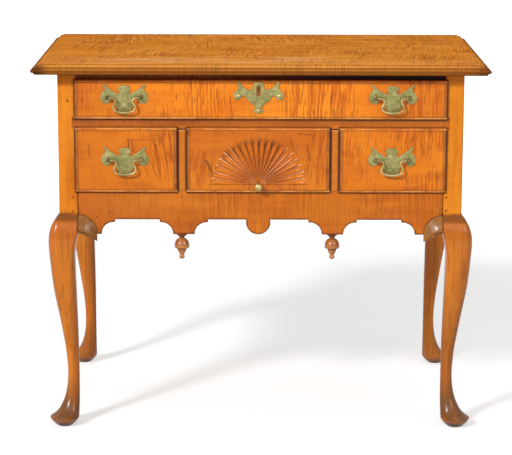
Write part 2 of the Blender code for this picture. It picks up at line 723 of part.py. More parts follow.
def side_panel(side, word, front_leg, rear_leg):
    """A side of the case, with its scrolled edge and a tenon at each end."""
    length = CASE_DEPTH - 2 * POST - 2 * SEAT
    start = FRONT + POST + SEAT
    edge = side_edge(length)
    top = TOP_UNDERSIDE - SEAT
    panel = plate(
        f"side_panel_{word}",
        [edge + [(length, top), (0.0, top)]],
        SIDE_THICKNESS,
        MAPLE,
        facing_side((side * (HALF_WIDTH - SIDE_THICKNESS / 2), start, 0.0)),
    )
    middle = HALF_WIDTH - SIDE_THICKNESS / 2
    x = sorted((side * (middle - TENON_THICKNESS / 2), side * (middle + TENON_THICKNESS / 2)))
    low_z, high_z = KNEE_TOP + TENON_SHOULDER, TOP_UNDERSIDE - TENON_SHOULDER
    joint(
        panel, front_leg, f"side_front_{word}",
        (x[0], start - TENON, low_z), (x[1], start + WELD, high_z),
    )
    joint(
        panel, rear_leg, f"side_rear_{word}",
        (x[0], start + length - WELD, low_z), (x[1], start + length + TENON, high_z),
    )


def runners():
    """The strips that the drawers slide on, with the guides that keep them straight."""
    back = BACK_FACE - SEAT
    for level, top, start in (
        ("lower", APRON_TOP, FRONT + APRON_THICKNESS + SEAT),
        ("upper", MID_RAIL_TOP, FRONT + RAIL_DEPTH + SEAT),
    ):
        low = top - RUNNER_THICKNESS
        for side, word in ((-1, "left"), (1, "right")):
            x = sorted((side * (INNER - RUNNER_WIDTH), side * (INNER - SEAT)))
            runner = box(f"{level}_runner_{word}", (x[0], start, low), (x[1], back, top), PINE)
            # Between the posts it widens to the side panel, and the guide stands on that part.
            wall = side * (HALF_WIDTH - SIDE_THICKNESS - SEAT)
            y = max(start, FRONT + POST + SEAT), BACK - POST - SEAT
            wide = sorted((side * (INNER - SEAT - WELD), wall))
            fuse(runner, cutter_box(
                f"{runner.name}_web", (wide[0], y[0], low), (wide[1], y[1], top - WELD)
            ))
            guide = sorted((side * INNER, wall))
            fuse(runner, cutter_box(
                f"{runner.name}_guide", (guide[0], y[0], top - 2 * WELD), (guide[1], y[1], top + GUIDE_HEIGHT)
            ))
    for word, centre in divider_centres():
        half = DIVIDER / 2
        ledge = half + MEDIAL_LEDGE
        runner = box(
            f"medial_runner_{word}",
            (centre - ledge, FRONT + APRON_THICKNESS + SEAT, APRON_TOP - RUNNER_THICKNESS),
            (centre + ledge, back, APRON_TOP),
            PINE,
        )
        fuse(runner, cutter_box(
            f"{runner.name}_guide",
            (centre - half, FRONT + DIVIDER_DEPTH + SEAT, APRON_TOP - WELD),
            (centre + half, back, APRON_TOP + GUIDE_HEIGHT),
        ))


def drawer_front(name, low_x, high_x, low_z, high_z):
    """A drawer front for an opening: a body inside it and a rounded lip over its edges."""
    lip = low_x - LIP_OVERLAP_X, high_x + LIP_OVERLAP_X, low_z - LIP_OVERLAP_Z, high_z + LIP_OVERLAP_Z
    body = (
        low_x + DRAWER_SIDE_CLEAR, high_x - DRAWER_SIDE_CLEAR, low_z + SEAT, high_z - DRAWER_TOP_CLEAR
    )
    lip_back = FRONT - SEAT
    sections = [(THUMB_RUN, FACE)]
    for i in range(THUMB_FACETS + 1):
        a = math.radians(90 * i / THUMB_FACETS)
        sections.append((THUMB_RUN * (1 - math.sin(a)), FACE + THUMB_STEP + THUMB_FALL * (1 - math.cos(a))))
    sections.append((0.0, lip_back))
    rings = [[
        (lip[0] + inset, y, lip[2] + inset), (lip[1] - inset, y, lip[2] + inset),
        (lip[1] - inset, y, lip[3] - inset), (lip[0] + inset, y, lip[3] - inset),
    ] for inset, y in sections]
    for y in (lip_back, FRONT + FRONT_BODY):
        rings.append([
            (body[0], y, body[2]), (body[1], y, body[2]), (body[1], y, body[3]), (body[0], y, body[3])
        ])
    return loft(name, rings, MAPLE), body


def slide_empty(name, x, z):
    """An empty on a drawer's sliding axis."""
    empty = bpy.data.objects.new(name, None)
    empty.location = (x, FRONT, z)
    PARTS.objects.link(empty)
    bpy.context.view_layer.update()
    return empty


def hang(children, parent):
    """Parents pieces without moving them."""
    bpy.context.view_layer.update()
    for child in children:
        child.parent = parent
        child.matrix_parent_inverse = parent.matrix_world.inverted()


def drawer(word, low_x, high_x, low_z, high_z):
    """One drawer: front, sides, back and a bottom let into grooves."""
    front, body = drawer_front(f"drawer_{word}_front", low_x, high_x, low_z, high_z)
    start = FRONT + FRONT_BODY + SEAT
    end = BACK_FACE - DRAWER_BACK_CLEAR
    sides = []
    for x, tag in ((body[0], "left_side"), (body[1] - DRAWER_SIDE, "right_side")):
        sides.append(box(
            f"drawer_{word}_{tag}", (x, start, body[2]), (x + DRAWER_SIDE, end, body[3]), PINE
        ))
    inside = body[0] + DRAWER_SIDE, body[1] - DRAWER_SIDE
    floor = body[2] + BOTTOM_RISE
    bottom_low = (inside[0] - GROOVE, start - SEAT - GROOVE, floor)
    bottom_high = (inside[1] + GROOVE, end, floor + DRAWER_BOTTOM)
    bottom = box(f"drawer_{word}_bottom", bottom_low, bottom_high, PINE)
    groove = cutter_box(f"drawer_{word}_groove", *grown(bottom_low, bottom_high, SEAT))
    for piece in (front, *sides):
        cut(piece, groove)
    back = box(
        f"drawer_{word}_back",
        (inside[0] + SEAT, end - DRAWER_BACK, floor + DRAWER_BOTTOM + SEAT),
        (inside[1] - SEAT, end, body[3] - BACK_DROP),
        PINE,
    )
    empty = slide_empty(f"drawer_{word}_slide", (low_x + high_x) / 2, (low_z + high_z) / 2)
    hang([front, *sides, bottom, back], empty)
    return front, empty


def fan(front):
    """Carves the fan: tapered gouge cuts that widen from the hub and end round."""
    half_angle = (math.pi / FAN_RAYS - FAN_RIDGE / FAN_RADIUS) / 2
    centre = Vector((FRONT_SHIFT, FACE, LOWER_LIP + FAN_RISE))
    # Each hollow ends in a round that just touches both sides of its ray.
    end_radius = FAN_RADIUS * math.sin(half_angle) / (1 + math.sin(half_angle))
    straight = FAN_RADIUS - end_radius
    stations = [(FAN_HUB, 0.2 * FAN_HUB * math.tan(half_angle))]
    for share in (0.06, 0.50):
        distance = FAN_HUB + (straight - FAN_HUB) * share
        stations.append((distance, distance * math.tan(half_angle)))
    for share in (0.0, 0.5, 0.80, 0.97):
        stations.append((straight + end_radius * share, end_radius * math.sqrt(1 - share**2)))
    bm = bmesh.new()
    for ray in range(FAN_RAYS):
        angle = math.pi * (ray + 0.5) / FAN_RAYS
        along = Vector((math.cos(angle), 0.0, math.sin(angle)))
        across = Vector((-math.sin(angle), 0.0, math.cos(angle)))
        rings = []
        for distance, half in stations:
            depth = FAN_DEPTH * half / end_radius
            proud = Vector((0.0, -PAST, 0.0))
            ring = [centre + along * distance + across * (half * way) + proud for way in (-1, 1)]
            for i in range(FAN_FACETS + 1):
                a = math.pi * i / FAN_FACETS
                out = across * (half * math.cos(a)) + Vector((0, depth * math.sin(a), 0))
                ring.append(centre + along * distance + out)
            rings.append([bm.verts.new(point) for point in ring])
        for first, second in zip(rings, rings[1:]):
            for i in range(len(first)):
                j = (i + 1) % len(first)
                bm.faces.new((first[i], first[j], second[j], second[i]))
        bm.faces.new(rings[0])
        bm.faces.new(rings[-1])
    cut(front, as_cutter(from_bmesh("fan_gouges", bm, None, CUTTERS)))


def mirrored_outline(half):
    """A closed outline from its right half, drawn from the top middle to the bottom middle."""
    return [*half, *((-x, y) for x, y in reversed(half[1:-1]))]


def pull(word, x, z, empty):
    """A bat-wing plate with its two posts, and the bail that swings on them."""
    plate_face = FACE - SEAT - PLATE_THICKNESS
    pivot_y = plate_face - BAIL_STANDOFF
    back = plate(
        f"pull_plate_{word}",
        [mirrored_outline(PLATE_HALF)],
        PLATE_THICKNESS,
        BRASS,
        facing_front((x, FACE - SEAT - PLATE_THICKNESS / 2, z)),
    )
    for side in (-1, 1):
        at = x + side * POST_SPREAD
        post = cutter_rod(
            f"pull_{word}_post_{side}",
            (at, FACE - SEAT - PLATE_THICKNESS / 2, z), (at, pivot_y - PULL_POST_TIP, z), PULL_POST,
        )
        fuse(back, post)
        hole = cutter_rod(
            f"pull_{word}_hole_{side}",
            (at - 2 * PULL_POST, pivot_y, z), (at + 2 * PULL_POST, pivot_y, z), BAIL_PIN + PIN_CLEAR, 8,
        )
        cut(back, hole)
    ring = bail(word)
    ring.location = (x, pivot_y, z)
    hang([back, ring], empty)
    return ring


def bail(word):
    """The bail, a swan-necked wire whose thinner ends turn in the posts. Its origin is on its hinge."""
    right = [(point[0], point[1], BAIL_WIRE) for point in curved(BAIL_HALF, 2)]
    pins = [(BAIL_PIN_END, 0.0, BAIL_PIN), (BAIL_HALF[0][0] + BAIL_SHOULDER, 0.0, BAIL_PIN)]
    left = [(-a, b, r) for a, b, r in reversed((pins + right)[:-1])]
    curve = bpy.data.curves.new(f"bail_{word}", "CURVE")
    curve.dimensions = "3D"
    curve.bevel_depth = 1.0
    curve.bevel_resolution = 2
    curve.use_fill_caps = True
    spline = curve.splines.new("POLY")
    route = pins + right + left
    spline.points.add(len(route) - 1)
    for point, (a, b, radius) in zip(spline.points, route):
        point.co = (a, 0.0, b, 1.0)
        point.radius = radius
    return place(bpy.data.objects.new(f"bail_{word}", curve), BRASS)


def keyhole(name, y_low, y_high):
    """Round-topped keyhole, as a cutter through a plate or a front."""
    at = FRONT_SHIFT
    hole = cutter_rod(name + "_eye", (at, y_low, KEYHOLE_Z), (at, y_high, KEYHOLE_Z), KEYHOLE_RADIUS)
    slot = cutter_box(
        name + "_slot",
        (at - KEYHOLE_SLOT / 2, y_low, KEYHOLE_Z - KEYHOLE_DROP), (at + KEYHOLE_SLOT / 2, y_high, KEYHOLE_Z),
    )
    return hole, slot


def escutcheon(empty):
    """The keyhole plate, cut like the pulls' plates."""
    shield = plate(
        "escutcheon",
        [mirrored_outline(ESCUTCHEON_HALF)],
        PLATE_THICKNESS,
        BRASS,
        facing_front((FRONT_SHIFT, FACE - SEAT - PLATE_THICKNESS / 2, ESCUTCHEON_Z)),
    )
    half = KEY_WINDOW / 2
    middle = KEYHOLE_Z - KEYHOLE_DROP / 2
    low, high = middle - KEY_WINDOW_HEIGHT / 2 + half, middle + KEY_WINDOW_HEIGHT / 2 - half
    y = FACE - SEAT - PLATE_THICKNESS - PAST, FACE
    window = cutter_box(
        "key_window", (FRONT_SHIFT - half, y[0], low), (FRONT_SHIFT + half, y[1], high)
    )
    cut(shield, window)
    for z in (low, high):
        end = cutter_rod(f"key_window_end_{z:.3f}", (FRONT_SHIFT, y[0], z), (FRONT_SHIFT, y[1], z), half, 16)
        cut(shield, end)
    hang([shield], empty)


def lock(front, body_top, empty):
    """A till lock let into the back of the long drawer's front, and its bolt."""
    back = FRONT + FRONT_BODY
    face = back - LOCK_DEPTH
    low = (FRONT_SHIFT - LOCK_WIDTH / 2, face, body_top - LOCK_HEIGHT)
    high = (FRONT_SHIFT + LOCK_WIDTH / 2, back, body_top)
    case = box("lock_case", low, high, IRON)
    recess_low, recess_high = grown(low, high, SEAT)
    recess_high = [recess_high[0], back + PAST, body_top + PAST]
    cut(front, cutter_box("lock_recess", recess_low, recess_high))
    for hole in keyhole("front", FACE - PAST, face + SEAT):
        cut(front, hole)
    for hole in keyhole("lock", face - PAST, face + LOCK_PLATE):
        cut(case, hole)
    near = face + LOCK_PLATE + BOLT_CLEAR
    bolt_low = (FRONT_SHIFT - BOLT_WIDTH / 2, near, body_top - BOLT_HEIGHT)
    bolt_high = (FRONT_SHIFT + BOLT_WIDTH / 2, near + BOLT_THICKNESS, body_top - SEAT)
    bolt = box("lock_bolt", bolt_low, bolt_high, IRON)
    channel_low, channel_high = grown(bolt_low, bolt_high, BOLT_CLEAR)
    channel_high[2] = body_top + PAST
    cut(case, cutter_box("lock_channel", channel_low, channel_high))
    mortise_low, mortise_high = grown(bolt_low, bolt_high, MORTISE_CLEAR)
    mortise_low[2], mortise_high[2] = TOP_RAIL_LOW - PAST, TOP_RAIL_LOW + BOLT_TRAVEL
    cut(bpy.data.objects["top_rail"], cutter_box("bolt_mortise", mortise_low, mortise_high))
    hang([case, bolt], empty)


def knob(front, empty):
    """The small brass knob at the heart of the fan."""
    z = LOWER_LIP + KNOB_RISE
    shoulder = KNOB_PROFILE[-1][1]
    shank = (KNOB_SHANK, shoulder), (KNOB_SHANK, -KNOB_SHANK_LENGTH), (0.0, -KNOB_SHANK_LENGTH)
    profile = ((0.0, KNOB_HEIGHT), *KNOB_PROFILE, *shank)
    made = turned("fan_knob", profile, 16, BRASS)
    made.matrix_world = facing_front((FRONT_SHIFT, FACE, z))
    hole = cutter_rod(
        "knob_hole",
        (FRONT_SHIFT, FACE - PAST, z), (FRONT_SHIFT, FACE + KNOB_SHANK_LENGTH + SEAT, z),
        KNOB_SHANK + KNOB_CLEAR,
        16,
    )
    cut(front, hole)
    hang([made], empty)


def drops(apron):
    """Two turned drops, each with a dowel in the apron's edge."""
    for side, word, shift in ((-1, "left", DROP_LEFT_SHIFT), (1, "right", DROP_RIGHT_SHIFT)):
        x, y = FRONT_SHIFT + side * TAB_CENTRE - shift, FRONT + APRON_THICKNESS / 2
        shoulder = DROP_PROFILE[0][1]
        dowel = (0.0, DROP_DOWEL_LENGTH), (DROP_DOWEL, DROP_DOWEL_LENGTH), (DROP_DOWEL, shoulder)
        profile = (*dowel, *DROP_PROFILE, (0.0, -DROP_LENGTH))
        drop = turned(f"drop_{word}", profile, 16, MAPLE)
        drop.location = (x, y, EDGE_LOW)
        hole = cutter_rod(
            f"drop_hole_{word}",
            (x, y, EDGE_LOW - PAST), (x, y, EDGE_LOW + DROP_DOWEL_LENGTH + SEAT),
            DROP_DOWEL + DROP_CLEAR,
            16,
        )
        cut(apron, hole)


def build():
    top_board()
    legs = {}
    for side, word in ((-1, "left"), (1, "right")):
        for end, place_word in ((-1, "front"), (1, "rear")):
            name = f"leg_{place_word}_{word}"
            legs[name] = leg(name, side, end)
            knee_block(f"knee_block_side_{place_word}_{word}", side, end, True)
        knee_block(f"knee_block_front_{word}", side, -1, False)
    apron = carcass(legs)
    runners()
    drops(apron)
    left, right = INNER_OPENING
    long_front, long_slide = drawer("top", -INNER, INNER, MID_RAIL_TOP, TOP_RAIL_LOW)
    _, left_slide = drawer("left", -INNER, left - DIVIDER, APRON_TOP, MID_RAIL_LOW)
    centre_front, centre_slide = drawer("centre", left, right, APRON_TOP, MID_RAIL_LOW)
    _, right_slide = drawer("right", right + DIVIDER, INNER, APRON_TOP, MID_RAIL_LOW)
    fan(centre_front)
    knob(centre_front, centre_slide)
    escutcheon(long_slide)
    lock(long_front, TOP_RAIL_LOW - DRAWER_TOP_CLEAR, long_slide)
    for side, word in ((-1, "left"), (1, "right")):
        x = FRONT_SHIFT + side * PULL_SPREAD
        pull(f"top_{word}", x, UPPER_PULL_Z, long_slide)
        pull(f"lower_{word}", x, LOWER_PULL_Z, left_slide if side < 0 else right_slide)


build()
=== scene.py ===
"""A curly maple dressing table in a pale studio.

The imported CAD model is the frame. Pieces that need a finer surface are made here in
the same places and replace their CAD nodes, the rest get better materials. Metres,
X to the right, Y to the back, Z up; the drawers face -Y.
"""

import math

import bmesh
import bpy
from mathutils import Matrix, Vector


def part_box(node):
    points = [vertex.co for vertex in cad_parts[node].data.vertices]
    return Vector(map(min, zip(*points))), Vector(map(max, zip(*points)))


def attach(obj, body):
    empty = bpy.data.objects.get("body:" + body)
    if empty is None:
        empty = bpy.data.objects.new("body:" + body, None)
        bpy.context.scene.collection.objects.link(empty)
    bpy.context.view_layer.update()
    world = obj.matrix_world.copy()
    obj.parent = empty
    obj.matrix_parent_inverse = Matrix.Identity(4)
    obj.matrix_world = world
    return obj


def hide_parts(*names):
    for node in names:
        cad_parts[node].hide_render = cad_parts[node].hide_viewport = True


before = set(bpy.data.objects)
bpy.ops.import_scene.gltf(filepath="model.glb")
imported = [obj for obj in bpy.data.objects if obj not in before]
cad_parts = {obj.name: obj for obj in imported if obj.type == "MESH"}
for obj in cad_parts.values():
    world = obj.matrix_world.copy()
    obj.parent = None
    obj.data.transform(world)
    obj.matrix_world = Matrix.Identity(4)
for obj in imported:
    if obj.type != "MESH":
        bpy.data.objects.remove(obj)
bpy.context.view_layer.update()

SEAT = 0.0003  # gap between pieces that touch
PAST = 0.002  # how far a cutter runs past what it cuts


def box_of(node):
    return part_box(node)


def middle_of(node):
    low, high = box_of(node)
    return [(a + b) / 2 for a, b in zip(low, high)]


# Places read from the frame
FRONT = box_of("mid_rail")[0].y
FACE = box_of("drawer_top_front")[0].y
HALF_WIDTH = -box_of("side_panel_left")[0].x
MID_RAIL_LOW, MID_RAIL_TOP = box_of("mid_rail")[0].z, box_of("mid_rail")[1].z
POST = 0.039
INNER = HALF_WIDTH - POST
BACK = FRONT + 0.497
TOP_UNDERSIDE = box_of("top_board")[0].z
CENTRE = middle_of("escutcheon")[0]
APRON_THICKNESS = box_of("front_skirt")[1].y - box_of("front_skirt")[0].y
APRON_TOP = MID_RAIL_LOW - 0.1285
EDGE_LOW = APRON_TOP - 0.0911
EDGE_FLAT = APRON_TOP - 0.0603
KNEE_TOP = APRON_TOP - 0.049


# Shapes


def linked(name, data):
    """An object in the scene."""
    obj = bpy.data.objects.new(name, data)
    bpy.context.scene.collection.objects.link(obj)
    return obj


def smooth(obj, degrees=35):
    obj.data.shade_smooth()
    obj.data.set_sharp_from_angle(angle=math.radians(degrees))
    return obj


def from_bmesh(name, bm, finish):
    bmesh.ops.recalc_face_normals(bm, faces=bm.faces)
    mesh = bpy.data.meshes.new(name)
    bm.to_mesh(mesh)
    bm.free()
    obj = linked(name, mesh)
    obj.data.materials.append(finish)
    return obj


def evaluated(obj):
    """A new mesh of what an object's curve or modifiers make."""
    bpy.context.view_layer.update()
    return bpy.data.meshes.new_from_object(obj.evaluated_get(bpy.context.evaluated_depsgraph_get()))


def skin(bm, rings):
    """Skins closed rings of equal counts, and closes both ends."""
    layers = [[bm.verts.new(point) for point in ring] for ring in rings]
    for lower, upper in zip(layers, layers[1:]):
        for i in range(len(lower)):
            j = (i + 1) % len(lower)
            bm.faces.new((lower[i], lower[j], upper[j], upper[i]))
    bm.faces.new(layers[0])
    bm.faces.new(layers[-1])


def loft(name, rings, finish):
    bm = bmesh.new()
    skin(bm, rings)
    return from_bmesh(name, bm, finish)


def turned(name, profile, finish, matrix, segments=40):
    """Turns a profile of radius and height about Z, closing it on the axis at both ends."""
    bm = bmesh.new()
    rings = []
    angles = [2 * math.pi * i / segments for i in range(segments)]
    for radius, height in profile:
        if radius < 1e-6:
            rings.append([bm.verts.new((0, 0, height))])
        else:
            rings.append([bm.verts.new((radius * math.cos(a), radius * math.sin(a), height)) for a in angles])
    for lower, upper in zip(rings, rings[1:]):
        for i in range(segments):
            j = (i + 1) % segments
            corners = [ring[k % len(ring)] for ring, k in ((lower, i), (lower, j), (upper, j), (upper, i))]
            bm.faces.new(list(dict.fromkeys(corners)))
    bm.transform(matrix)
    return smooth(from_bmesh(name, bm, finish), 40)


def curved(points, steps=3):
    """Points on a smooth curve through a few points of a plane."""
    last = len(points) - 1
    made = []
    for i in range(last):
        a, b, c, d = (Vector(points[min(max(i + k, 0), last)]) for k in (-1, 0, 1, 2))
        for j in range(steps):
            t = j / steps
            cubic = (3 * b - a - 3 * c + d) * t**3
            made.append(0.5 * (2 * b + (c - a) * t + (2 * a - 5 * b + 4 * c - d) * t**2 + cubic))
    return made + [Vector(points[-1])]


def arc(centre, radius, start, end, steps):
    """Points on an arc in a plane, angles in degrees."""
    angles = [math.radians(start + (end - start) * i / steps) for i in range(steps + 1)]
    return [(centre[0] + radius * math.cos(a), centre[1] + radius * math.sin(a)) for a in angles]


def plate(name, loops, thickness, edge, finish, matrix):
    """A flat outline with softened edges."""
    curve = bpy.data.curves.new(name, "CURVE")
    curve.dimensions = "2D"
    curve.fill_mode = "BOTH"
    curve.extrude = thickness / 2 - edge
    curve.bevel_depth = edge
    curve.offset = -edge
    curve.bevel_resolution = 2
    for loop in loops:
        spline = curve.splines.new("POLY")
        spline.points.add(len(loop) - 1)
        for point, at in zip(spline.points, loop):
            point.co = (at[0], at[1], 0.0, 1.0)
        spline.use_cyclic_u = True
    drawn = linked(name, curve)
    mesh = evaluated(drawn)
    bpy.data.objects.remove(drawn)
    bm = bmesh.new()
    bm.from_mesh(mesh)
    bpy.data.meshes.remove(mesh)
    bmesh.ops.remove_doubles(bm, verts=bm.verts, dist=1e-6)
    bm.transform(matrix)
    return smooth(from_bmesh(name, bm, finish), 30)


def box_piece(name, low, high, finish):
    low, high = Vector(low), Vector(high)
    bm = bmesh.new()
    size = Matrix.Diagonal((*(high - low), 1.0))
    bmesh.ops.create_cube(bm, size=1.0, matrix=Matrix.Translation((low + high) / 2) @ size)
    return from_bmesh(name, bm, finish)


def cut(obj, cutters, degrees):
    """Cuts pieces out of an object and keeps the result as its mesh."""
    for cutter in cutters:
        step = obj.modifiers.new("cut", "BOOLEAN")
        step.operation = "DIFFERENCE"
        step.solver = "EXACT"
        step.object = cutter
    mesh = evaluated(obj)
    obj.modifiers.clear()
    obj.data = mesh
    for cutter in cutters:
        bpy.data.objects.remove(cutter)
    return smooth(obj, degrees)


def facing_front(at):
    """Turns a shape drawn in a plane so that it faces the front."""
    return Matrix.Translation(at) @ Matrix.Rotation(math.radians(90), 4, "X")


def facing_side(at):
    """Turns a shape drawn in a plane so that its length runs to the back."""
    turn = Matrix.Rotation(math.radians(90), 4, "Z") @ Matrix.Rotation(math.radians(90), 4, "X")
    return Matrix.Translation(at) @ turn


def pointing(at, direction=(0, -1, 0), track="Z"):
    """Turns a shape so that its top, or another side of it, points in a direction."""
    return Matrix.Translation(at) @ Vector(direction).to_track_quat(track, "Y").to_matrix().to_4x4()


def put(obj, body, slot, *nodes):
    """Ties a piece to its body, and hides the CAD nodes it stands for; its finish is not used."""
    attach(obj, body)
    if nodes:
        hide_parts(*nodes)


# Materials

FAN_RADIUS, FAN_HUB, FAN_RAYS, FAN_DEPTH, FAN_RIDGE, FAN_FACETS = 0.097, 0.014, 20, 0.0040, 0.0009, 10
FAN_RISE = 0.0185  # centre of the fan over the lip's lower edge


def srgb(red, green, blue):
    """Linear colour of a screen colour of 0 to 255."""
    return tuple(
        (c / 255 / 12.92 if c / 255 <= 0.04045 else ((c / 255 + 0.055) / 1.055) ** 2.4)
        for c in (red, green, blue)
    )


def sum_of(operation):
    """A way to work with two terms, and the same with the term second."""
    return lambda a, b: a.shader.math(operation, a, b), lambda a, b: a.shader.math(operation, b, a)


class Term:
    """The output of a node, which can stand in a sum."""

    def __init__(self, shader, socket):
        self.shader, self.socket = shader, socket

    def __abs__(self):
        return self.shader.math("ABSOLUTE", self)

    __add__, __radd__ = sum_of("ADD")
    __sub__, __rsub__ = sum_of("SUBTRACT")
    __mul__, __rmul__ = sum_of("MULTIPLY")
    __truediv__, __rtruediv__ = sum_of("DIVIDE")


class Shader:
    """A Principled material with short calls for its nodes."""

    def __init__(self, name, tree=None):
        if tree is None:
            self.material = bpy.data.materials.new(name)
            self.material.use_nodes = True
            tree = self.material.node_tree
            self.surface = tree.nodes["Principled BSDF"]
        self.tree = tree

    def put(self, socket, value):
        if isinstance(value, Term):
            self.tree.links.new(value.socket, socket)
        elif isinstance(value, tuple) and len(value) == 3 and socket.type == "RGBA":
            socket.default_value = (*value, 1.0)
        else:
            socket.default_value = value

    def add(self, kind, inputs, output=0, **settings):
        node = self.tree.nodes.new("ShaderNode" + kind)
        for key, value in settings.items():
            setattr(node, key, value)
        for key, value in inputs.items():
            self.put(node.inputs[key], value)
        return Term(self, node.outputs[output])

    def math(self, operation, a, b=0.0, clamp=False):
        return self.add("Math", {0: a, 1: b}, operation=operation, use_clamp=clamp)

    def mix(self, a, b, share):
        return self.add("Mix", {0: share, 6: a, 7: b}, 2, data_type="RGBA")

    def over(self, colour, share):
        """Lays a colour over what the material has so far."""
        self.colour = self.mix(self.colour, colour, share)

    def ramp(self, value, low, high, out_low=0.0, out_high=1.0):
        """Maps a range to another, smoothly and clamped."""
        ends = {0: value, 1: low, 2: high, 3: out_low, 4: out_high}
        return self.add("MapRange", ends, interpolation_type="SMOOTHSTEP")

    def noise(self, vector, scale, detail=2.0, roughness=0.5):
        """Noise whose features are 1/scale long on each axis."""
        if not isinstance(scale, tuple):
            scale = (scale,) * 3
        stretched = self.add("VectorMath", {0: vector, 1: scale}, operation="MULTIPLY")
        return self.add(
            "TexNoise", {"Vector": stretched, "Scale": 1.0, "Detail": detail, "Roughness": roughness}
        )

    def moved(self, vector, way):
        return self.add("VectorMath", {0: vector, 1: way}, operation="ADD")

    def split(self, vector):
        """The three parts of a vector."""
        x = self.add("SeparateXYZ", {0: vector})
        return [Term(self, part) for part in x.socket.node.outputs]

    def length(self, across, up):
        """How far a way goes that has two parts."""
        way = self.add("CombineXYZ", {0: across, 1: up})
        return self.add("VectorMath", {0: way}, "Value", operation="LENGTH")

    def place(self, grain, seed):
        """Object coordinates with the grain along X, moved by a seed."""
        x, y, z = self.at = self.split(self.add("TexCoord", {}, "Object"))
        order = {"X": (x, y, z), "Y": (y, x, z), "Z": (z, x, y)}[grain]
        joined = self.add("CombineXYZ", dict(enumerate(order)))
        self.where = self.moved(joined, (seed * 3.7, seed * 1.3, seed * 2.1))
        return self.where

    def crevices(self, distance, low, high, **settings):
        """1 deep in a corner or gap, 0 in the open."""
        shade = self.add("AmbientOcclusion", {"Distance": distance}, "AO", samples=8, **settings)
        return self.ramp(shade, low, high, 1.0, 0.0)

    def line(self, x, z, first, last, half, share):
        """A soft line on the front between two places."""
        run = Vector((last[0] - first[0], last[1] - first[1]))
        across, up = x - first[0], z - first[1]
        along = self.math("DIVIDE", across * run.x + up * run.y, run.length_squared, True)
        off = self.length(across - along * run.x, up - along * run.y)
        return self.ramp(off, half * 0.35, half, share, 0.0)

    def oval(self, x, z, shape, solid):
        """1 inside an oval on the front of a place and two half widths, and 0 past its edge."""
        middle_x, width, middle_z, height = shape
        return self.ramp(self.length((x - middle_x) / width, (z - middle_z) / height), solid, 1.0, 1.0, 0.0)

    def peak(self, value, middle, half, share):
        """A soft line where a value passes its middle."""
        return self.ramp(abs(value - middle), half * 0.3, half, share, 0.0)

    def turned_to(self, direction):
        """1 where a face looks in a direction, less where it turns away."""
        normal = self.add("NewGeometry", {}, "Normal")
        return self.add("VectorMath", {0: normal, 1: direction}, "Value", operation="DOT_PRODUCT")

    def rim(self, radius):
        """1 along the edges of a piece, 0 on its faces."""
        along = self.turned_to(self.add("Bevel", {"Radius": radius}, samples=6))
        return self.ramp(along, 0.80, 0.99, 1.0, 0.0)

    def finish(self, roughness, height, bump, depth, **constants):
        normal = self.add("Bump", {"Strength": bump, "Distance": depth, "Height": height})
        parts = {"Base_Color": self.colour, "Roughness": roughness, **constants, "Normal": normal}
        for key, value in parts.items():
            self.put(self.surface.inputs[key.replace("_", " ")], value)
        return self.material


# Dirt and painted shade in corners and gaps
DIRT_AND_SHADE = srgb(48, 22, 10)
EDGE = srgb(112, 52, 16)
# Dark marks, and painted shade on the lips, the carving and the rail
MARKS_AND_SHADE = srgb(88, 38, 12)
# A painted highlight along the drawers' lips
LIP_HIGHLIGHT = srgb(255, 178, 96)


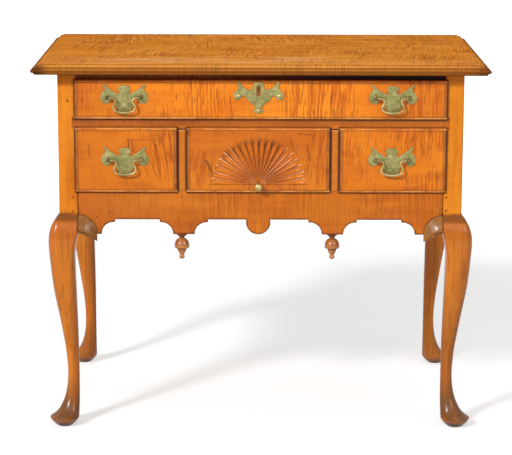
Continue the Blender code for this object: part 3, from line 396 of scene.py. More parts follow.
def curly_maple(
    name, grain, seed, tones, lift=1.0, curl=0.6, flames=0.5, pitch=0.007, slant=0.0, stroke=0.075,
    chevron=None, stains_and_painted_light=(), shade_turned_away=None, dirt_and_shade=0.85, edge=0.55, gloss=0.34, shine=0.2,
    coat=0.05, reach=0.010, streak=0.28, bursts=(), bands=(), wear=None, rim=0.0022, polish=None,
    calm=0.35, lively=0.42, cloud=0.3,
):
    """Amber maple with its curl across the grain, darker flames, streaks, and dirt with painted shade in the
    corners.
    """
    light, mid, dark, flame = (tuple(min(c * lift, 1.0) for c in srgb(*tone)) for tone in tones)
    s = Shader(name)
    where = s.place(grain, seed)
    x, y, z = s.at

    # The curl: waves across the grain that lean, drift and break off
    shift = (s.noise(where, 14, 1.5) - 0.5) * 0.012 + s.split(where)[2] * slant
    if chevron is not None:
        middle, lean = chevron
        shift = shift + abs(y - middle) * lean
    bent = s.moved(where, s.add("CombineXYZ", {0: shift}))
    across = 1 / stroke
    close = s.noise(bent, (0.95 / pitch, across, across), 1.6)
    wide = s.noise(bent, (0.42 / pitch, across * 0.7, across * 0.7))
    phase = s.noise(bent, (22, across * 0.5, across * 0.5), 1, 0.4) * 16
    wave = s.math("SINE", s.split(bent)[0] * (2 * math.pi * 0.8 / pitch) + phase)
    ripple = close * 0.72 + wide * 0.14 + (wave + 1.0) * 0.07
    fine = s.noise(bent, (1.4 / pitch, across * 2.2, across * 2.2), 1.2)

    # The ground: tones, streaks and clouds
    patches = s.ramp(s.noise(where, (9, 7, 7)), lively, lively + 0.24)
    streaks = s.noise(where, (5, 70, 70), 4, 0.6)
    pores = s.noise(where, (90, 1500, 1500), 1)
    s.colour = s.mix(mid, light, s.ramp(s.noise(where, (5, 8, 8), 3), 0.3, 0.7))
    s.over(dark, s.ramp(streaks, 0.44, 0.70) * streak)
    s.over(dark, s.ramp(s.noise(where, (8, 24, 24), 3, 0.55), 0.48, 0.70) * cloud)

    # The figure, strongest in patches and in the ovals of the bursts
    licks = s.ramp(s.noise(where, (13, 12, 12)), 0.46, 0.62)
    for oval in bursts:
        patches = s.math("ADD", patches, s.oval(x, z, oval, 0.4), True)
        licks = s.math("ADD", licks, s.oval(x, z, oval, 0.3), True)
    strength = s.ramp(patches, 0.0, 1.0, calm * curl, curl)
    s.over(dark, s.ramp(ripple, 0.44, 0.60) * strength)
    s.over(light, s.ramp(ripple, 0.36, 0.47, 1.0, 0.0) * (strength * 0.8))
    s.over(flame, s.ramp(fine, 0.53, 0.66) * licks * flames)
    s.over(dark, s.ramp(pores, 0.62, 0.75, 0.0, 0.25))

    # Age and painted light: stains, some of them painted shade and a painted reflection, bands, each piece's
    # marks and painted light, painted shade on faces turned away, darker edges, and dirt with painted shade
    # in corners and gaps
    s.blotch = s.ramp(s.noise(where, 60, 4, 0.6), 0.3, 0.7, 0.55, 1.0)
    for axis, start, finish, shade, share in stains_and_painted_light:
        uneven = s.at[axis] + s.noise(where, 30, 3) * (abs(finish - start) * 0.3)
        s.over(shade, s.ramp(uneven, start, finish, 0.0, share))
    for axis, middle, half, shade, share in bands:
        drift = (s.noise(where, 35, 3) - 0.5) * (half * 0.8)
        s.over(shade, s.peak(s.at[axis] + drift, middle, half, share))
    # Each piece's own marks, with its painted light and shade
    if wear is not None:
        wear(s)
    # Painted shade where faces turn away from an axis
    if shade_turned_away is not None:
        axis, start, finish, shade, share = shade_turned_away
        bare = abs(s.split(s.add("NewGeometry", {}, "Normal"))[axis])
        s.over(shade, s.ramp(bare, start, finish, share, 0.0))
    s.over(EDGE, s.rim(rim) * s.blotch * edge)
    # Dirt with painted shade in corners and gaps
    s.over(DIRT_AND_SHADE, s.crevices(reach, 0.35, 0.92) * s.blotch * dirt_and_shade)
    rough = s.ramp(s.noise(where, (20, 60, 60), 3), 0.3, 0.7, gloss - 0.06, gloss + 0.08)
    if polish is not None:
        # Rubbed bright only where the piece is rounded
        coat = s.ramp(z, *polish, 0.03, coat)
    return s.finish(
        rough, ripple * 0.6 + (streaks * 0.5 + pores), 0.16, 0.0004,
        Specular_IOR_Level=shine, Coat_Weight=coat, Coat_Roughness=0.18,
    )


def pine(name, grain, seed, light=srgb(212, 168, 112), dark=srgb(166, 114, 64)):
    """Old bare softwood, with strong rings and a dusty surface."""
    s = Shader(name)
    where = s.place(grain, seed)
    rings = s.noise(where, (0.9, 24, 24), 1.0, 0.4)
    late = s.ramp(s.math("FRACT", rings * 15.0), 0.55, 0.95)
    fibres = s.noise(where, (20, 700, 700))
    stain = s.ramp(s.noise(where, 6, 4, 0.6), 0.42, 0.72)
    s.colour = s.mix(light, dark, late * 0.7)
    s.over(dark, s.ramp(fibres, 0.5, 0.8, 0.0, 0.35))
    s.over(srgb(120, 78, 42), stain * 0.45)
    # Dirt with painted shade in the corners
    s.over(DIRT_AND_SHADE, s.crevices(0.012, 0.4, 0.9) * 0.6)
    height = late * 0.4 + (fibres + s.noise(where, (260, 14, 14), 1) * 0.6)
    return s.finish(s.ramp(fibres, 0.2, 0.8, 0.62, 0.85), height, 0.25, 0.0005, Specular_IOR_Level=0.25)


def aged_brass(name, seed, metallic=0.5, pale=srgb(150, 144, 86), deep=srgb(122, 120, 62)):
    """Cast brass gone olive, with tan edges that are partly a painted highlight, darker blotches and fine
    scratches.
    """
    s = Shader(name)
    where = s.place("X", seed)
    blotch = s.noise(where, 130, 4, 0.6)
    cloud = s.noise(where, 40, 3, 0.55)
    scratch = s.noise(where, (180, 2600, 2600))
    s.colour = s.mix(pale, deep, s.ramp(cloud, 0.35, 0.65))
    s.over(srgb(112, 100, 50), s.ramp(blotch, 0.54, 0.66, 0.0, 0.75))
    s.over(srgb(206, 176, 122), s.ramp(blotch, 0.34, 0.44, 0.45, 0.0))
    patchy = s.ramp(s.noise(where, 260, 3, 0.6), 0.35, 0.6, 0.25, 1.0)
    # Tan edges: wear with a painted highlight
    s.over(srgb(234, 196, 150), s.rim(0.0022) * patchy)
    # Dark in the hollows: patina with painted shade
    s.over(srgb(50, 28, 12), s.crevices(0.007, 0.35, 0.92) * 0.95)
    rough = s.ramp(blotch + scratch * 0.3, 0.3, 0.9, 0.32, 0.55)
    return s.finish(rough, cloud + (blotch * 0.6 + scratch * 0.2), 0.35, 0.0004, Metallic=metallic)


def dark_iron(name):
    """Wrought iron with rust at its edges."""
    s = Shader(name)
    where = s.place("X", 3.0)
    rust = s.ramp(s.noise(where, 150, 5, 0.65), 0.5, 0.68)
    s.colour = s.mix(srgb(72, 66, 60), srgb(118, 66, 36), rust * 0.8)
    return s.finish(s.ramp(rust, 0.0, 1.0, 0.45, 0.85), s.noise(where, 400, 3), 0.3, 0.0003, Metallic=0.8)


def plain_dark(name, colour, deep=srgb(40, 20, 8)):
    """A peg's end or a nail hole, with a speckle."""
    s = Shader(name)
    speck = s.noise(s.place("X", 5.0), 900, 3)
    s.colour = s.mix(colour, deep, s.ramp(speck, 0.4, 0.8))
    return s.finish(s.ramp(speck, 0.2, 0.8, 0.6, 0.9), speck, 0.2, 0.0002, Specular_IOR_Level=0.1)


def drawer_light_and_wear(word, marks=(), carved=False):
    """Painted light and shade round a drawer front, with some dirt: dark outside as painted shadow, a painted
    highlight along the lip, and brown in the step as painted shade.

    A mark has its two ends in X and Z, half its width, its share, and perhaps a colour.
    """
    low, high = box_of(f"drawer_{word}_front")

    def layers(s):
        x, _, z = s.at
        sides = s.math("MINIMUM", x - low.x, high.x - x)
        uneven = s.ramp(s.noise(s.where, 24, 3, 0.6), 0.38, 0.62, 0.2, 1.0)
        for distance, edge, dark, pale, brown in (
            (sides, 0.0028, 0.8, 0.25, 0.65),
            (z - low.z, 0.0012, 0.85, 0.75, 0.45),
            (high.z - z, 0.0010, 0.3, 0.5, 0.35),
        ):
            # Brown in the step: painted shade with some dirt
            s.over(MARKS_AND_SHADE, s.ramp(distance, edge + 0.0030, 0.011, brown, 0.0) * s.blotch)
            # A painted highlight along the rounded lip
            s.over(LIP_HIGHLIGHT, s.peak(distance, edge + 0.0028, 0.0022, pale) * uneven)
            # Dark outside: painted shadow with some dirt
            s.over(DIRT_AND_SHADE, s.ramp(distance, edge * 0.5, edge + 0.0012, dark, 0.0))
        for start_x, start_z, end_x, end_z, half, share, *shade in marks:
            line = s.line(x, z, (start_x, start_z), (end_x, end_z), half, share)
            s.over(shade[0] if shade else MARKS_AND_SHADE, line)
        if carved:
            fan_light_and_shade(s, x - CENTRE, z - (low.z + FAN_RISE))

    return layers


def fan_light_and_shade(s, x, z):
    """Painted light and shade in the carving: painted shade on walls that face down and right, dark darts
    between the rays' ends as painted shadow, and painted highlights on the ridges low on both sides; browner
    towards the hub.
    """
    reach = s.length(x, z)
    turn = s.math("ARCTAN2", x, z)
    above = s.ramp(z, 0.0012, 0.0022)
    inside = s.ramp(reach, FAN_RADIUS + 0.001, FAN_RADIUS - 0.004) * above
    s.over(srgb(158, 74, 22), inside * s.ramp(reach, 0.030, 0.080, 0.5, 0.04))
    # Painted shade on the walls that face down and right
    away = s.turned_to(tuple(Vector((0.75, 0.0, -0.66)).normalized()))
    s.over(MARKS_AND_SHADE, s.ramp(away, 0.28, 0.70, 0.0, 0.55) * inside)
    pitch = math.pi / FAN_RAYS
    part = s.math("FRACT", turn / pitch + 0.5) - 0.5
    off = abs(part) * (reach * pitch)
    half = s.math(
        "MINIMUM",
        s.ramp(reach, 0.020, 0.088, 0.0004, 0.0022),
        s.ramp(reach, 0.086, FAN_RADIUS + 0.006, 0.0024, 0.0001),
    )
    dart = s.ramp(off / half, 0.5, 1.15, 1.0, 0.0) * s.ramp(reach, 0.050, 0.085, 0.25, 0.9)
    dart = dart * s.ramp(s.noise(s.where, 45), 0.35, 0.6, 0.65, 1.0)
    # Dark darts, strongest near the top: painted shadow
    s.over(srgb(84, 52, 18), dart * s.ramp(abs(turn + 0.22), 0.45, 0.95, 1.0, 0.2))
    crest = abs(part - s.ramp(turn, -0.3, 0.3, -0.20, 0.20)) * (reach * pitch)
    crest = s.ramp(crest / s.ramp(reach, 0.03, 0.09, 0.0009, 0.0021), 0.3, 1.0, 1.0, 0.0)
    shine = crest * s.ramp(abs(turn), 0.50, 0.85) * s.ramp(reach, 0.022, 0.090, 0.25, 1.0)
    shine = shine * s.ramp(s.noise(s.where, 60), 0.35, 0.6, 0.3, 1.0) * above
    # Painted highlights on the ridges low on both sides
    s.over(srgb(255, 190, 140), shine * s.ramp(reach, FAN_RADIUS, FAN_RADIUS - 0.003))


def top_wear(s):
    """Pale scratches along the front of the top, and dark worn corners."""
    x, y, _ = s.at
    scratch = s.ramp(s.noise(s.where, (6, 75, 75), 3, 0.65), 0.52, 0.62)
    zone = s.peak(y, -0.190, 0.085, 1.0) * s.peak(x, -0.10, 0.38, 1.0)
    s.over(srgb(246, 196, 140), scratch * zone * 0.7)
    low, high = box_of("top_board")
    for corner_x, share in ((low.x, 0.95), (high.x, 0.7)):
        away = s.length(x - corner_x, y - low.y) + s.noise(s.where, 55, 3, 0.6) * 0.02
        s.over(srgb(58, 42, 26), s.ramp(away, 0.020, 0.050, share, 0.0))
    for edge_x in (low.x, high.x):
        s.over(EDGE, s.peak(x, edge_x, 0.009, 0.7))
    s.over(EDGE, s.peak(y, high.y, 0.016, 0.6))


def leg_veins_and_shade(s):
    """Dark beside the drawers, painted shade with some dirt, and brown veins from the knee to the foot."""
    x, _, z = s.at
    # Dark beside the drawers: painted shade with some dirt
    beside = s.ramp(abs(x), INNER + 0.0030, INNER + 0.0006, 0.0, 0.75)
    s.over(srgb(84, 50, 26), beside * s.ramp(z, APRON_TOP, APRON_TOP + 0.006))
    vein = s.ramp(s.noise(s.where, (4, 150, 150), 3, 0.6), 0.50, 0.66)
    broad = s.ramp(s.noise(s.where, (3, 48, 48)), 0.44, 0.66)
    below = s.ramp(z, KNEE_TOP + 0.002, KNEE_TOP - 0.045)
    s.over(srgb(180, 98, 30), broad * below * 0.55)
    s.over(srgb(104, 50, 20), vein * below * 0.32)


def apron_dark_edge(s):
    """Dark along the scrolled edge."""
    edge = s.crevices(0.006, 0.62, 0.97, inside=True) * s.blotch
    s.over(srgb(74, 32, 12), edge * s.ramp(s.at[2], APRON_TOP - 0.030, APRON_TOP - 0.050))


def rail_shade(s):
    """Painted shadow under the long drawer, lighter towards the three short ones."""
    z, middle = s.at[2], (MID_RAIL_LOW + MID_RAIL_TOP) / 2
    # Painted shadow of the long drawer's lip
    s.over(MARKS_AND_SHADE, s.ramp(z, middle, MID_RAIL_TOP - 0.002, 0.0, 0.55))
    s.over(srgb(226, 128, 40), s.ramp(z, middle, MID_RAIL_LOW + 0.003, 0.0, 0.35))


def divider_shade(s):
    """Painted shadow along the drawers' lips, lighter between them, a black gap under the rail as painted
    shadow, and a pale line just below it.
    """
    x, _, z = s.at
    for one, other in (("left", "centre"), ("centre", "right")):
        start, end = box_of(f"drawer_{one}_front")[1].x, box_of(f"drawer_{other}_front")[0].x
        s.over(srgb(236, 150, 60), s.peak(x, (start + end) / 2, (end - start) * 0.35, 0.12))
        for lip in (start, end):
            # Painted shadow beside the drawers' lips
            s.over(srgb(60, 26, 8), s.peak(x, lip, 0.0030, 0.85))
    s.over(srgb(250, 176, 96), s.peak(z, MID_RAIL_LOW - 0.0042, 0.0016, 0.5))
    # A black gap under the rail: painted shadow
    s.over(srgb(24, 10, 4), s.ramp(z, MID_RAIL_LOW - 0.0032, MID_RAIL_LOW - 0.0018, 0.0, 0.97))


# Screen colours of each wood's light, middle and dark tones and of its flames
AMBER = (244, 146, 32), (234, 126, 14), (190, 86, 8), (112, 46, 10)
HONEY = (232, 132, 22), (215, 111, 10), (174, 74, 4), (102, 40, 8)
LEFT_HONEY = (226, 128, 21), (208, 107, 9), (168, 71, 4), (100, 38, 8)
FAN_HONEY = (222, 126, 21), (205, 105, 9), (166, 70, 4), (120, 48, 8)
APRON = (214, 120, 24), (200, 104, 12), (160, 72, 6), (108, 46, 10)
BROWN = (229, 147, 46), (212, 124, 28), (150, 76, 16), (104, 50, 16)
POSTS = (228, 140, 36), (221, 124, 28), (180, 90, 18), (108, 50, 14)
# The middle rail's tones are darker: painted shade between the drawers
RAIL = (196, 104, 22), (176, 88, 14), (132, 58, 8), (86, 36, 8)
# The top rail's tones are dark: painted shade under the top's overhang
TOP_RAIL = (160, 80, 34), (136, 64, 26), (104, 46, 18), (60, 26, 12)
SIDES = (228, 134, 30), (210, 114, 18), (168, 80, 10), (112, 50, 12)
DROPS = (208, 134, 62), (182, 108, 46), (116, 64, 26), (96, 46, 18)
BLOCKS = (164, 108, 48), (138, 86, 34), (94, 54, 20), (70, 40, 16)
SHADE = srgb(*HONEY[2])

TOP_WOOD = curly_maple(
    "top_maple", "X", 1.0, BROWN, curl=0.62, flames=0.32, pitch=0.0052, stroke=0.080, chevron=(0.08, 0.11),
    # The moulded edge, whose faces turn from up, is darker: painted shade
    dirt_and_shade=0.6, shade_turned_away=(2, 0.55, 0.99, srgb(112, 60, 20), 0.8), edge=0.6, gloss=0.42, shine=0.0,
    # Lighter towards the front: a painted reflection
    stains_and_painted_light=((1, -0.10, -0.25, srgb(232, 158, 84), 0.30),), wear=top_wear, rim=0.003, coat=0.03,
)
LONG_DRAWER_WOOD = curly_maple(
    "long_drawer_maple", "X", 2.0, AMBER, curl=0.75, flames=0.5, pitch=0.0062, lively=0.55,
    bursts=((0.105, 0.085, 0.70, 0.2), (-0.115, 0.045, 0.70, 0.2), (0.325, 0.05, 0.70, 0.2)), calm=0.16,
    # Darker towards both ends: painted shade
    cloud=0.45, stains_and_painted_light=((0, -0.18, -0.36, SHADE, 0.5), (0, 0.20, 0.36, SHADE, 0.4)),
    # Darker behind the escutcheon's window
    wear=drawer_light_and_wear("top", ((CENTRE, 0.7000, CENTRE, 0.7140, 0.0085, 0.75, srgb(112, 66, 24)),)),
)
LEFT_DRAWER_WOOD = curly_maple(
    "left_drawer_maple", "X", 3.0, LEFT_HONEY, curl=0.55, flames=0.45, slant=0.12, pitch=0.0060,
    bursts=((-0.192, 0.045, 0.575, 0.08),), calm=0.06, lively=0.58, cloud=0.55,
    # Darker towards the left end: painted shade
    stains_and_painted_light=((0, -0.20, -0.40, SHADE, 0.45),),
    wear=drawer_light_and_wear("left", (
        (-0.2720, 0.6048, -0.2040, 0.6080, 0.0012, 0.40), (-0.2690, 0.6080, -0.2675, 0.5870, 0.0022, 0.65),
        (-0.2625, 0.6060, -0.2585, 0.5840, 0.0021, 0.60), (-0.3495, 0.5950, -0.3475, 0.5720, 0.0032, 0.35),
        (-0.2185, 0.6035, -0.2100, 0.5848, 0.0020, 0.50), (-0.2175, 0.5848, -0.2083, 0.5609, 0.0020, 0.40),
        (-0.2253, 0.5643, -0.2116, 0.5336, 0.0020, 0.35), (-0.2350, 0.5500, -0.2280, 0.5300, 0.0018, 0.30),
    )),
)
FAN_DRAWER_WOOD = curly_maple(
    "fan_drawer_maple", "X", 4.1, FAN_HONEY, curl=0.55, flames=0.4, reach=0.006, coat=0.06, dirt_and_shade=0.75,
    gloss=0.28, pitch=0.0052, calm=0.2, lively=0.5, cloud=0.45, slant=-0.1,
    bursts=((0.118, 0.040, 0.565, 0.07), (-0.115, 0.035, 0.545, 0.05)),
    wear=drawer_light_and_wear("centre", (
        (-0.1105, 0.5625, -0.1000, 0.5420, 0.0030, 0.65), (-0.1130, 0.5640, -0.1060, 0.5600, 0.0024, 0.50),
        (0.0770, 0.6195, 0.0850, 0.6190, 0.0016, 0.60), (0.0880, 0.6180, 0.1030, 0.6172, 0.0016, 0.60),
        (0.0610, 0.6115, 0.0670, 0.5835, 0.0020, 0.50), (0.0944, 0.5953, 0.1000, 0.5645, 0.0028, 0.40),
        (0.0720, 0.5900, 0.0745, 0.5740, 0.0022, 0.30),
    ), True),
)
RIGHT_DRAWER_WOOD = curly_maple(
    "right_drawer_maple", "X", 5.3, HONEY, curl=0.6, flames=0.35, slant=-0.05, pitch=0.0058, stroke=0.05,
    calm=0.06, lively=0.56, cloud=0.5, wear=drawer_light_and_wear("right"),
    bursts=((0.325, 0.075, 0.610, 0.050), (0.345, 0.045, 0.520, 0.03)),
)
APRON_WOOD = curly_maple(
    "apron_maple", "X", 6.0, APRON, curl=0.5, flames=0.35, pitch=0.0042, wear=apron_dark_edge,
    stains_and_painted_light=((0, -0.05, -0.34, srgb(172, 84, 12), 0.55),),
)
RAIL_WOOD = curly_maple(
    "rail_maple", "X", 7.0, RAIL, curl=0.3, flames=0.3, reach=0.02, dirt_and_shade=0.95, wear=rail_shade
)
# Painted shade under the top's overhang, black to the right as painted shadow in the gap there
SHADED_TOP_RAIL_WOOD = curly_maple(
    "shaded_top_rail_maple", "X", 7.5, TOP_RAIL, reach=0.02, dirt_and_shade=0.35, shine=0.05, coat=0.0,
    stains_and_painted_light=((0, -0.15, 0.25, srgb(14, 4, 2), 0.95),),
)
SIDE_WOOD = curly_maple("side_maple", "Y", 8.0, SIDES, curl=0.5, flames=0.4, pitch=0.0055)
DIVIDER_WOOD = curly_maple(
    "divider_maple", "Z", 9.0, APRON, curl=0.2, flames=0.25, reach=0.016, dirt_and_shade=0.95, wear=divider_shade
)
DROP_WOOD = curly_maple(
    "drop_maple", "Z", 10.0, DROPS, curl=0.2, flames=0.3, coat=0.5, gloss=0.26,
    bands=(
        (2, EDGE_LOW - 0.004, 0.007, MARKS_AND_SHADE, 0.7), (2, EDGE_LOW - 0.018, 0.007, srgb(150, 72, 28), 0.6),
        (2, EDGE_LOW - 0.0305, 0.0028, MARKS_AND_SHADE, 0.7), (2, EDGE_LOW - 0.052, 0.003, MARKS_AND_SHADE, 0.7),
    ),
)
BLOCK_WOOD = curly_maple(
    "block_maple", "Z", 11.0, BLOCKS, curl=0.3, flames=0.4, coat=0.2, edge=0.8, reach=0.014, gloss=0.3,
    shine=0.1,
)
PINE_LONG = pine("pine_across", "X", 1.0)
PINE_DEEP = pine("pine_deep", "Y", 2.0)
PINE_BACK = pine("pine_back", "X", 3.0, srgb(176, 128, 76), srgb(124, 80, 42))
BRASS = aged_brass("aged_brass", 1.0)
BAIL_BRASS = aged_brass("bail_brass", 2.0, 0.6, srgb(176, 158, 104), srgb(132, 116, 64))
# A darker copy of the brass for the posts: painted shade round them
SHADED_POST_BRASS = aged_brass("shaded_post_brass", 4.0, 0.5, srgb(112, 98, 56), srgb(72, 58, 28))
KNOB_BRASS = aged_brass("knob_brass", 3.0, 0.7, srgb(206, 190, 132), srgb(168, 150, 92))
IRON = dark_iron("dark_iron")
PEG = plain_dark("peg_end", srgb(172, 88, 26), srgb(120, 58, 18))
HOLE = plain_dark("nail_hole", srgb(52, 26, 12))


def leg_wood(name, seed, foot, brown, lift):
    """Leg maple: amber at the post, browner from the knee down, dark at the foot."""
    return curly_maple(
        name, "Z", seed, POSTS, lift, curl=0.12, flames=0.2, streak=0.5, pitch=0.012, edge=0.7, gloss=0.28,
        coat=0.26, polish=(KNEE_TOP + 0.004, KNEE_TOP - 0.004), reach=0.016, wear=leg_veins_and_shade, shine=0.08,
        # Darker where its faces turn away from the front and back: painted shade
        shade_turned_away=(1, 0.10, 0.50, srgb(118, 62, 20), 0.5),
        stains_and_painted_light=(
            (2, KNEE_TOP + 0.0012, KNEE_TOP - 0.0004, srgb(190, 104, 28), 0.5),
            (2, 0.360, 0.200, srgb(134, 74, 26), brown),
            (2, 0.130, 0.050, srgb(98, 66, 38), foot),
        ),
        bands=(
            (2, KNEE_TOP - 0.030, 0.036, srgb(168, 84, 20), 0.55),
            (2, KNEE_TOP - 0.006, 0.012, srgb(84, 46, 18), 0.7), (2, 0.013, 0.007, srgb(186, 118, 78), 0.55),
        ),
    )


# Top


def top_board():
    """The top, its moulded edge drawn in two swells with a quirk between them."""
    low, high = box_of("top_board")
    run, thickness, undercut = 0.0185, high.z - low.z, 0.008
    upper = curved(((1.0, 0.0), (0.975, 0.045), (0.78, 0.085), (0.60, 0.16), (0.45, 0.265), (0.35, 0.39)), 4)
    lower = curved((
        (0.31, 0.425), (0.20, 0.405), (0.10, 0.435), (0.025, 0.505), (0.0, 0.59), (0.03, 0.68),
        (0.11, 0.75), (0.22, 0.78),
    ), 4)
    profile = [(run * a, thickness * b) for a, b in (*upper, (0.33, 0.435), *lower, (0.346, 0.87))]
    rings = []
    for inset, depth in (*profile, (undercut, thickness)):
        x, y, z = high.x - inset, low.y + inset, high.z - depth
        rings.append([(-x, y, z), (x, y, z), (x, high.y, z), (-x, high.y, z)])
    board = smooth(loft("fine_top_board", rings, TOP_WOOD), 30)
    soft = board.modifiers.new("soft_edges", "BEVEL")
    soft.width = 0.0008
    soft.segments = 2
    soft.limit_method = "ANGLE"
    soft.angle_limit = math.radians(60)
    soft.harden_normals = True
    put(board, "case", "top_maple", "top_board")


# Legs and knee blocks


def through(stations, at):
    """Value at a height on a smooth line through stations of height and value."""
    heights, values = zip(*stations)
    last = len(stations) - 1
    k = max(i for i in range(last) if heights[i] <= at or i == 0)

    def slope(i):
        a, b = max(i - 1, 0), min(i + 1, last)
        return (values[b] - values[a]) / (heights[b] - heights[a])

    span = heights[k + 1] - heights[k]
    t = (at - heights[k]) / span
    return (
        values[k] * (2 * t**3 - 3 * t**2 + 1)
        + slope(k) * span * (t**3 - 2 * t**2 + t)
        + values[k + 1] * (3 * t**2 - 2 * t**3)
        + slope(k + 1) * span * (t**3 - t**2)
    )


FOOT_RIM = 0.0185
FOOT_CONTACT = 0.015
FOOT_CURL = 1.6
# Height, and distance out from the post's outer face
LEG_OUTER = (
    (FOOT_RIM, 0.0266), (0.0225, 0.0192), (0.031, 0.0098), (0.041, 0.0036), (0.055, -0.0026),
    (0.075, -0.0076), (0.095, -0.0098), (0.115, -0.0103), (0.140, -0.0088), (0.170, -0.0056),
    (0.200, -0.0008), (0.230, 0.0040), (0.260, 0.0093), (0.290, 0.0142), (0.320, 0.0179),
    (0.350, 0.0204), (0.380, 0.0226), (0.395, 0.0231), (0.408, 0.0220), (0.420, 0.0193),
    (0.432, 0.0142), (0.4435, 0.0066), (KNEE_TOP, 0.0),
)
LEG_INNER = (
    (FOOT_RIM, -0.0338), (0.055, -0.0344), (0.140, -0.0344), (0.200, -0.0339), (0.290, -0.0320),
    (0.360, -0.0305), (0.378, -0.0310), (0.392, -0.0332), (0.405, -0.0365), (0.416, -0.0388),
    (0.424, -POST), (KNEE_TOP, -POST),
)
# Height, and corner radius as a share of half the section's width
LEG_ROUND = (
    (FOOT_RIM, 1.0), (0.150, 1.0), (0.250, 0.85), (0.340, 0.60), (0.390, 0.32), (0.415, 0.10),
    (KNEE_TOP, 0.05),
)
LEG_ROUND_OUTER = (
    (FOOT_RIM, 1.0), (0.150, 1.0), (0.250, 0.92), (0.400, 0.70), (0.440, 0.35), (KNEE_TOP, 0.05),
)
POST_ROUND = 0.05
SECTION_POINTS = 56
KNEE_STEP, ANKLE = 0.0035, 0.095


def rounded_square(middle, half, outer_round, inner_round):
    """A leg's section, in distances out from the post's two outer faces."""
    points = []
    for k in range(SECTION_POINTS):
        angle = 2 * math.pi * (k + 0.5) / SECTION_POINTS
        across, along = math.cos(angle), math.sin(angle)
        a, b = abs(across), abs(along)
        radius = half * (outer_round if across > 0 and along > 0 else inner_round)
        core = half - radius
        reach = half / max(a, b)
        if reach * min(a, b) > core:
            reach = core * (a + b) + math.sqrt(radius**2 - (core * (a - b)) ** 2)
        points.append((middle + reach * across, middle + reach * along))
    return points


def leg_heights():
    """Heights of the sections, closest at the knee and the foot."""
    knee = [KNEE_TOP - KNEE_STEP * i for i in range(1, 19)]
    shank = [knee[-1] + (ANKLE - knee[-1]) * i / 26 for i in range(1, 27)]
    foot = [ANKLE + (FOOT_RIM - ANKLE) * i / 22 for i in range(1, 23)]
    return knee + shank + foot


# Share of dark at the foot, share of brown in the shank, and lift of the colour
LEG_TONES = {
    "front_left": (0.9, 0.0, 1.03), "front_right": (0.8, 0.5, 1.05),
    # The rear right leg's colour is lifted as painted light, for the case's shadow on it
    "rear_left": (0.45, 0.0, 1.05), "rear_right": (0.4, 0.0, 1.35),
}
# Ends of the rails and tenons of the back, let into the posts
RAIL_END, MID_RAIL_DEPTH, TOP_RAIL_FRONT, TOP_RAIL_BACK = 0.010, 0.012, 0.010, 0.030
TENON, TENON_HALF, TENON_SHOULDER = 0.016, 0.0035, 0.020
ROOM = Vector((SEAT, SEAT, SEAT))


def roomy(name, low, high, finish):
    """A cutter that leaves a gap all round what goes in."""
    return box_piece(name, Vector(low) - ROOM, Vector(high) + ROOM, finish)


def leg(word, side, end):
    """A corner post, its cabriole leg and pad foot."""
    half_post = POST / 2
    sections = [(z, -half_post, half_post, POST_ROUND, POST_ROUND) for z in (TOP_UNDERSIDE - SEAT, KNEE_TOP)]
    for z in leg_heights():
        out, inside = through(LEG_OUTER, z), through(LEG_INNER, z)
        rounds = through(LEG_ROUND_OUTER, z), through(LEG_ROUND, z)
        sections.append((z, (out + inside) / 2, (out - inside) / 2, *(min(r, 1.0) for r in rounds)))
    middle, rim = sections[-1][1:3]
    for i in range(1, 13):
        share = i / 12
        across = FOOT_CONTACT + (rim - FOOT_CONTACT) * (1 - share**FOOT_CURL)
        sections.append((FOOT_RIM * (1 - share), middle, across, 1.0, 1.0))
    name = f"leg_{word}"
    corner_y = FRONT if end < 0 else BACK
    limit = max(abs(corner.y) for corner in box_of(name))
    rings = [[
        (side * (HALF_WIDTH + a), max(-limit, min(limit, corner_y + end * b)), z)
        for a, b in rounded_square(*section)
    ] for z, *section in sections]
    finish = leg_wood(name + "_maple", 12.0 + side + 2.3 * end, *LEG_TONES[word])
    piece = smooth(loft("fine_" + name, rings, finish), 30)
    if end < 0:
        # The ends of the middle rail and the top rail are let into the front posts.
        deep, spans = RAIL_END, (
            (FRONT - PAST, FRONT + MID_RAIL_DEPTH, MID_RAIL_LOW, MID_RAIL_TOP),
            (FRONT + TOP_RAIL_FRONT, FRONT + TOP_RAIL_BACK, box_of("top_rail")[0].z, TOP_UNDERSIDE),
        )
    else:
        # The tenons of the back are let into the rear ones.
        back = middle_of("back_panel")[1]
        near, far = back - TENON_HALF, back + TENON_HALF
        deep, spans = TENON, ((near, far, KNEE_TOP + TENON_SHOULDER, TOP_UNDERSIDE - TENON_SHOULDER),)
    first, last = sorted((side * (INNER - SEAT - 0.001), side * (INNER + deep)))
    sockets = [
        roomy("socket", (first, near, low), (last, far, high), finish) for near, far, low, high in spans
    ]
    put(cut(piece, sockets, 30), "case", "curly_maple", name)


BLOCK_REACH = 0.0380
BLOCK_LOW = KNEE_TOP - 0.0565
BLOCK_RISE = 0.0200
BLOCK_SHOULDER = KNEE_TOP - 0.046
BLOCK_OVAL = 0.0400, 0.0440
BLOCK_EDGE = 0.0020
BLOCK_BEAD = (
    (0.0, 0.84), (0.03, 0.90), (0.055, 0.925), (0.075, 0.91), (0.105, 0.85), (0.135, 0.93),
    (0.20, 0.98),
)


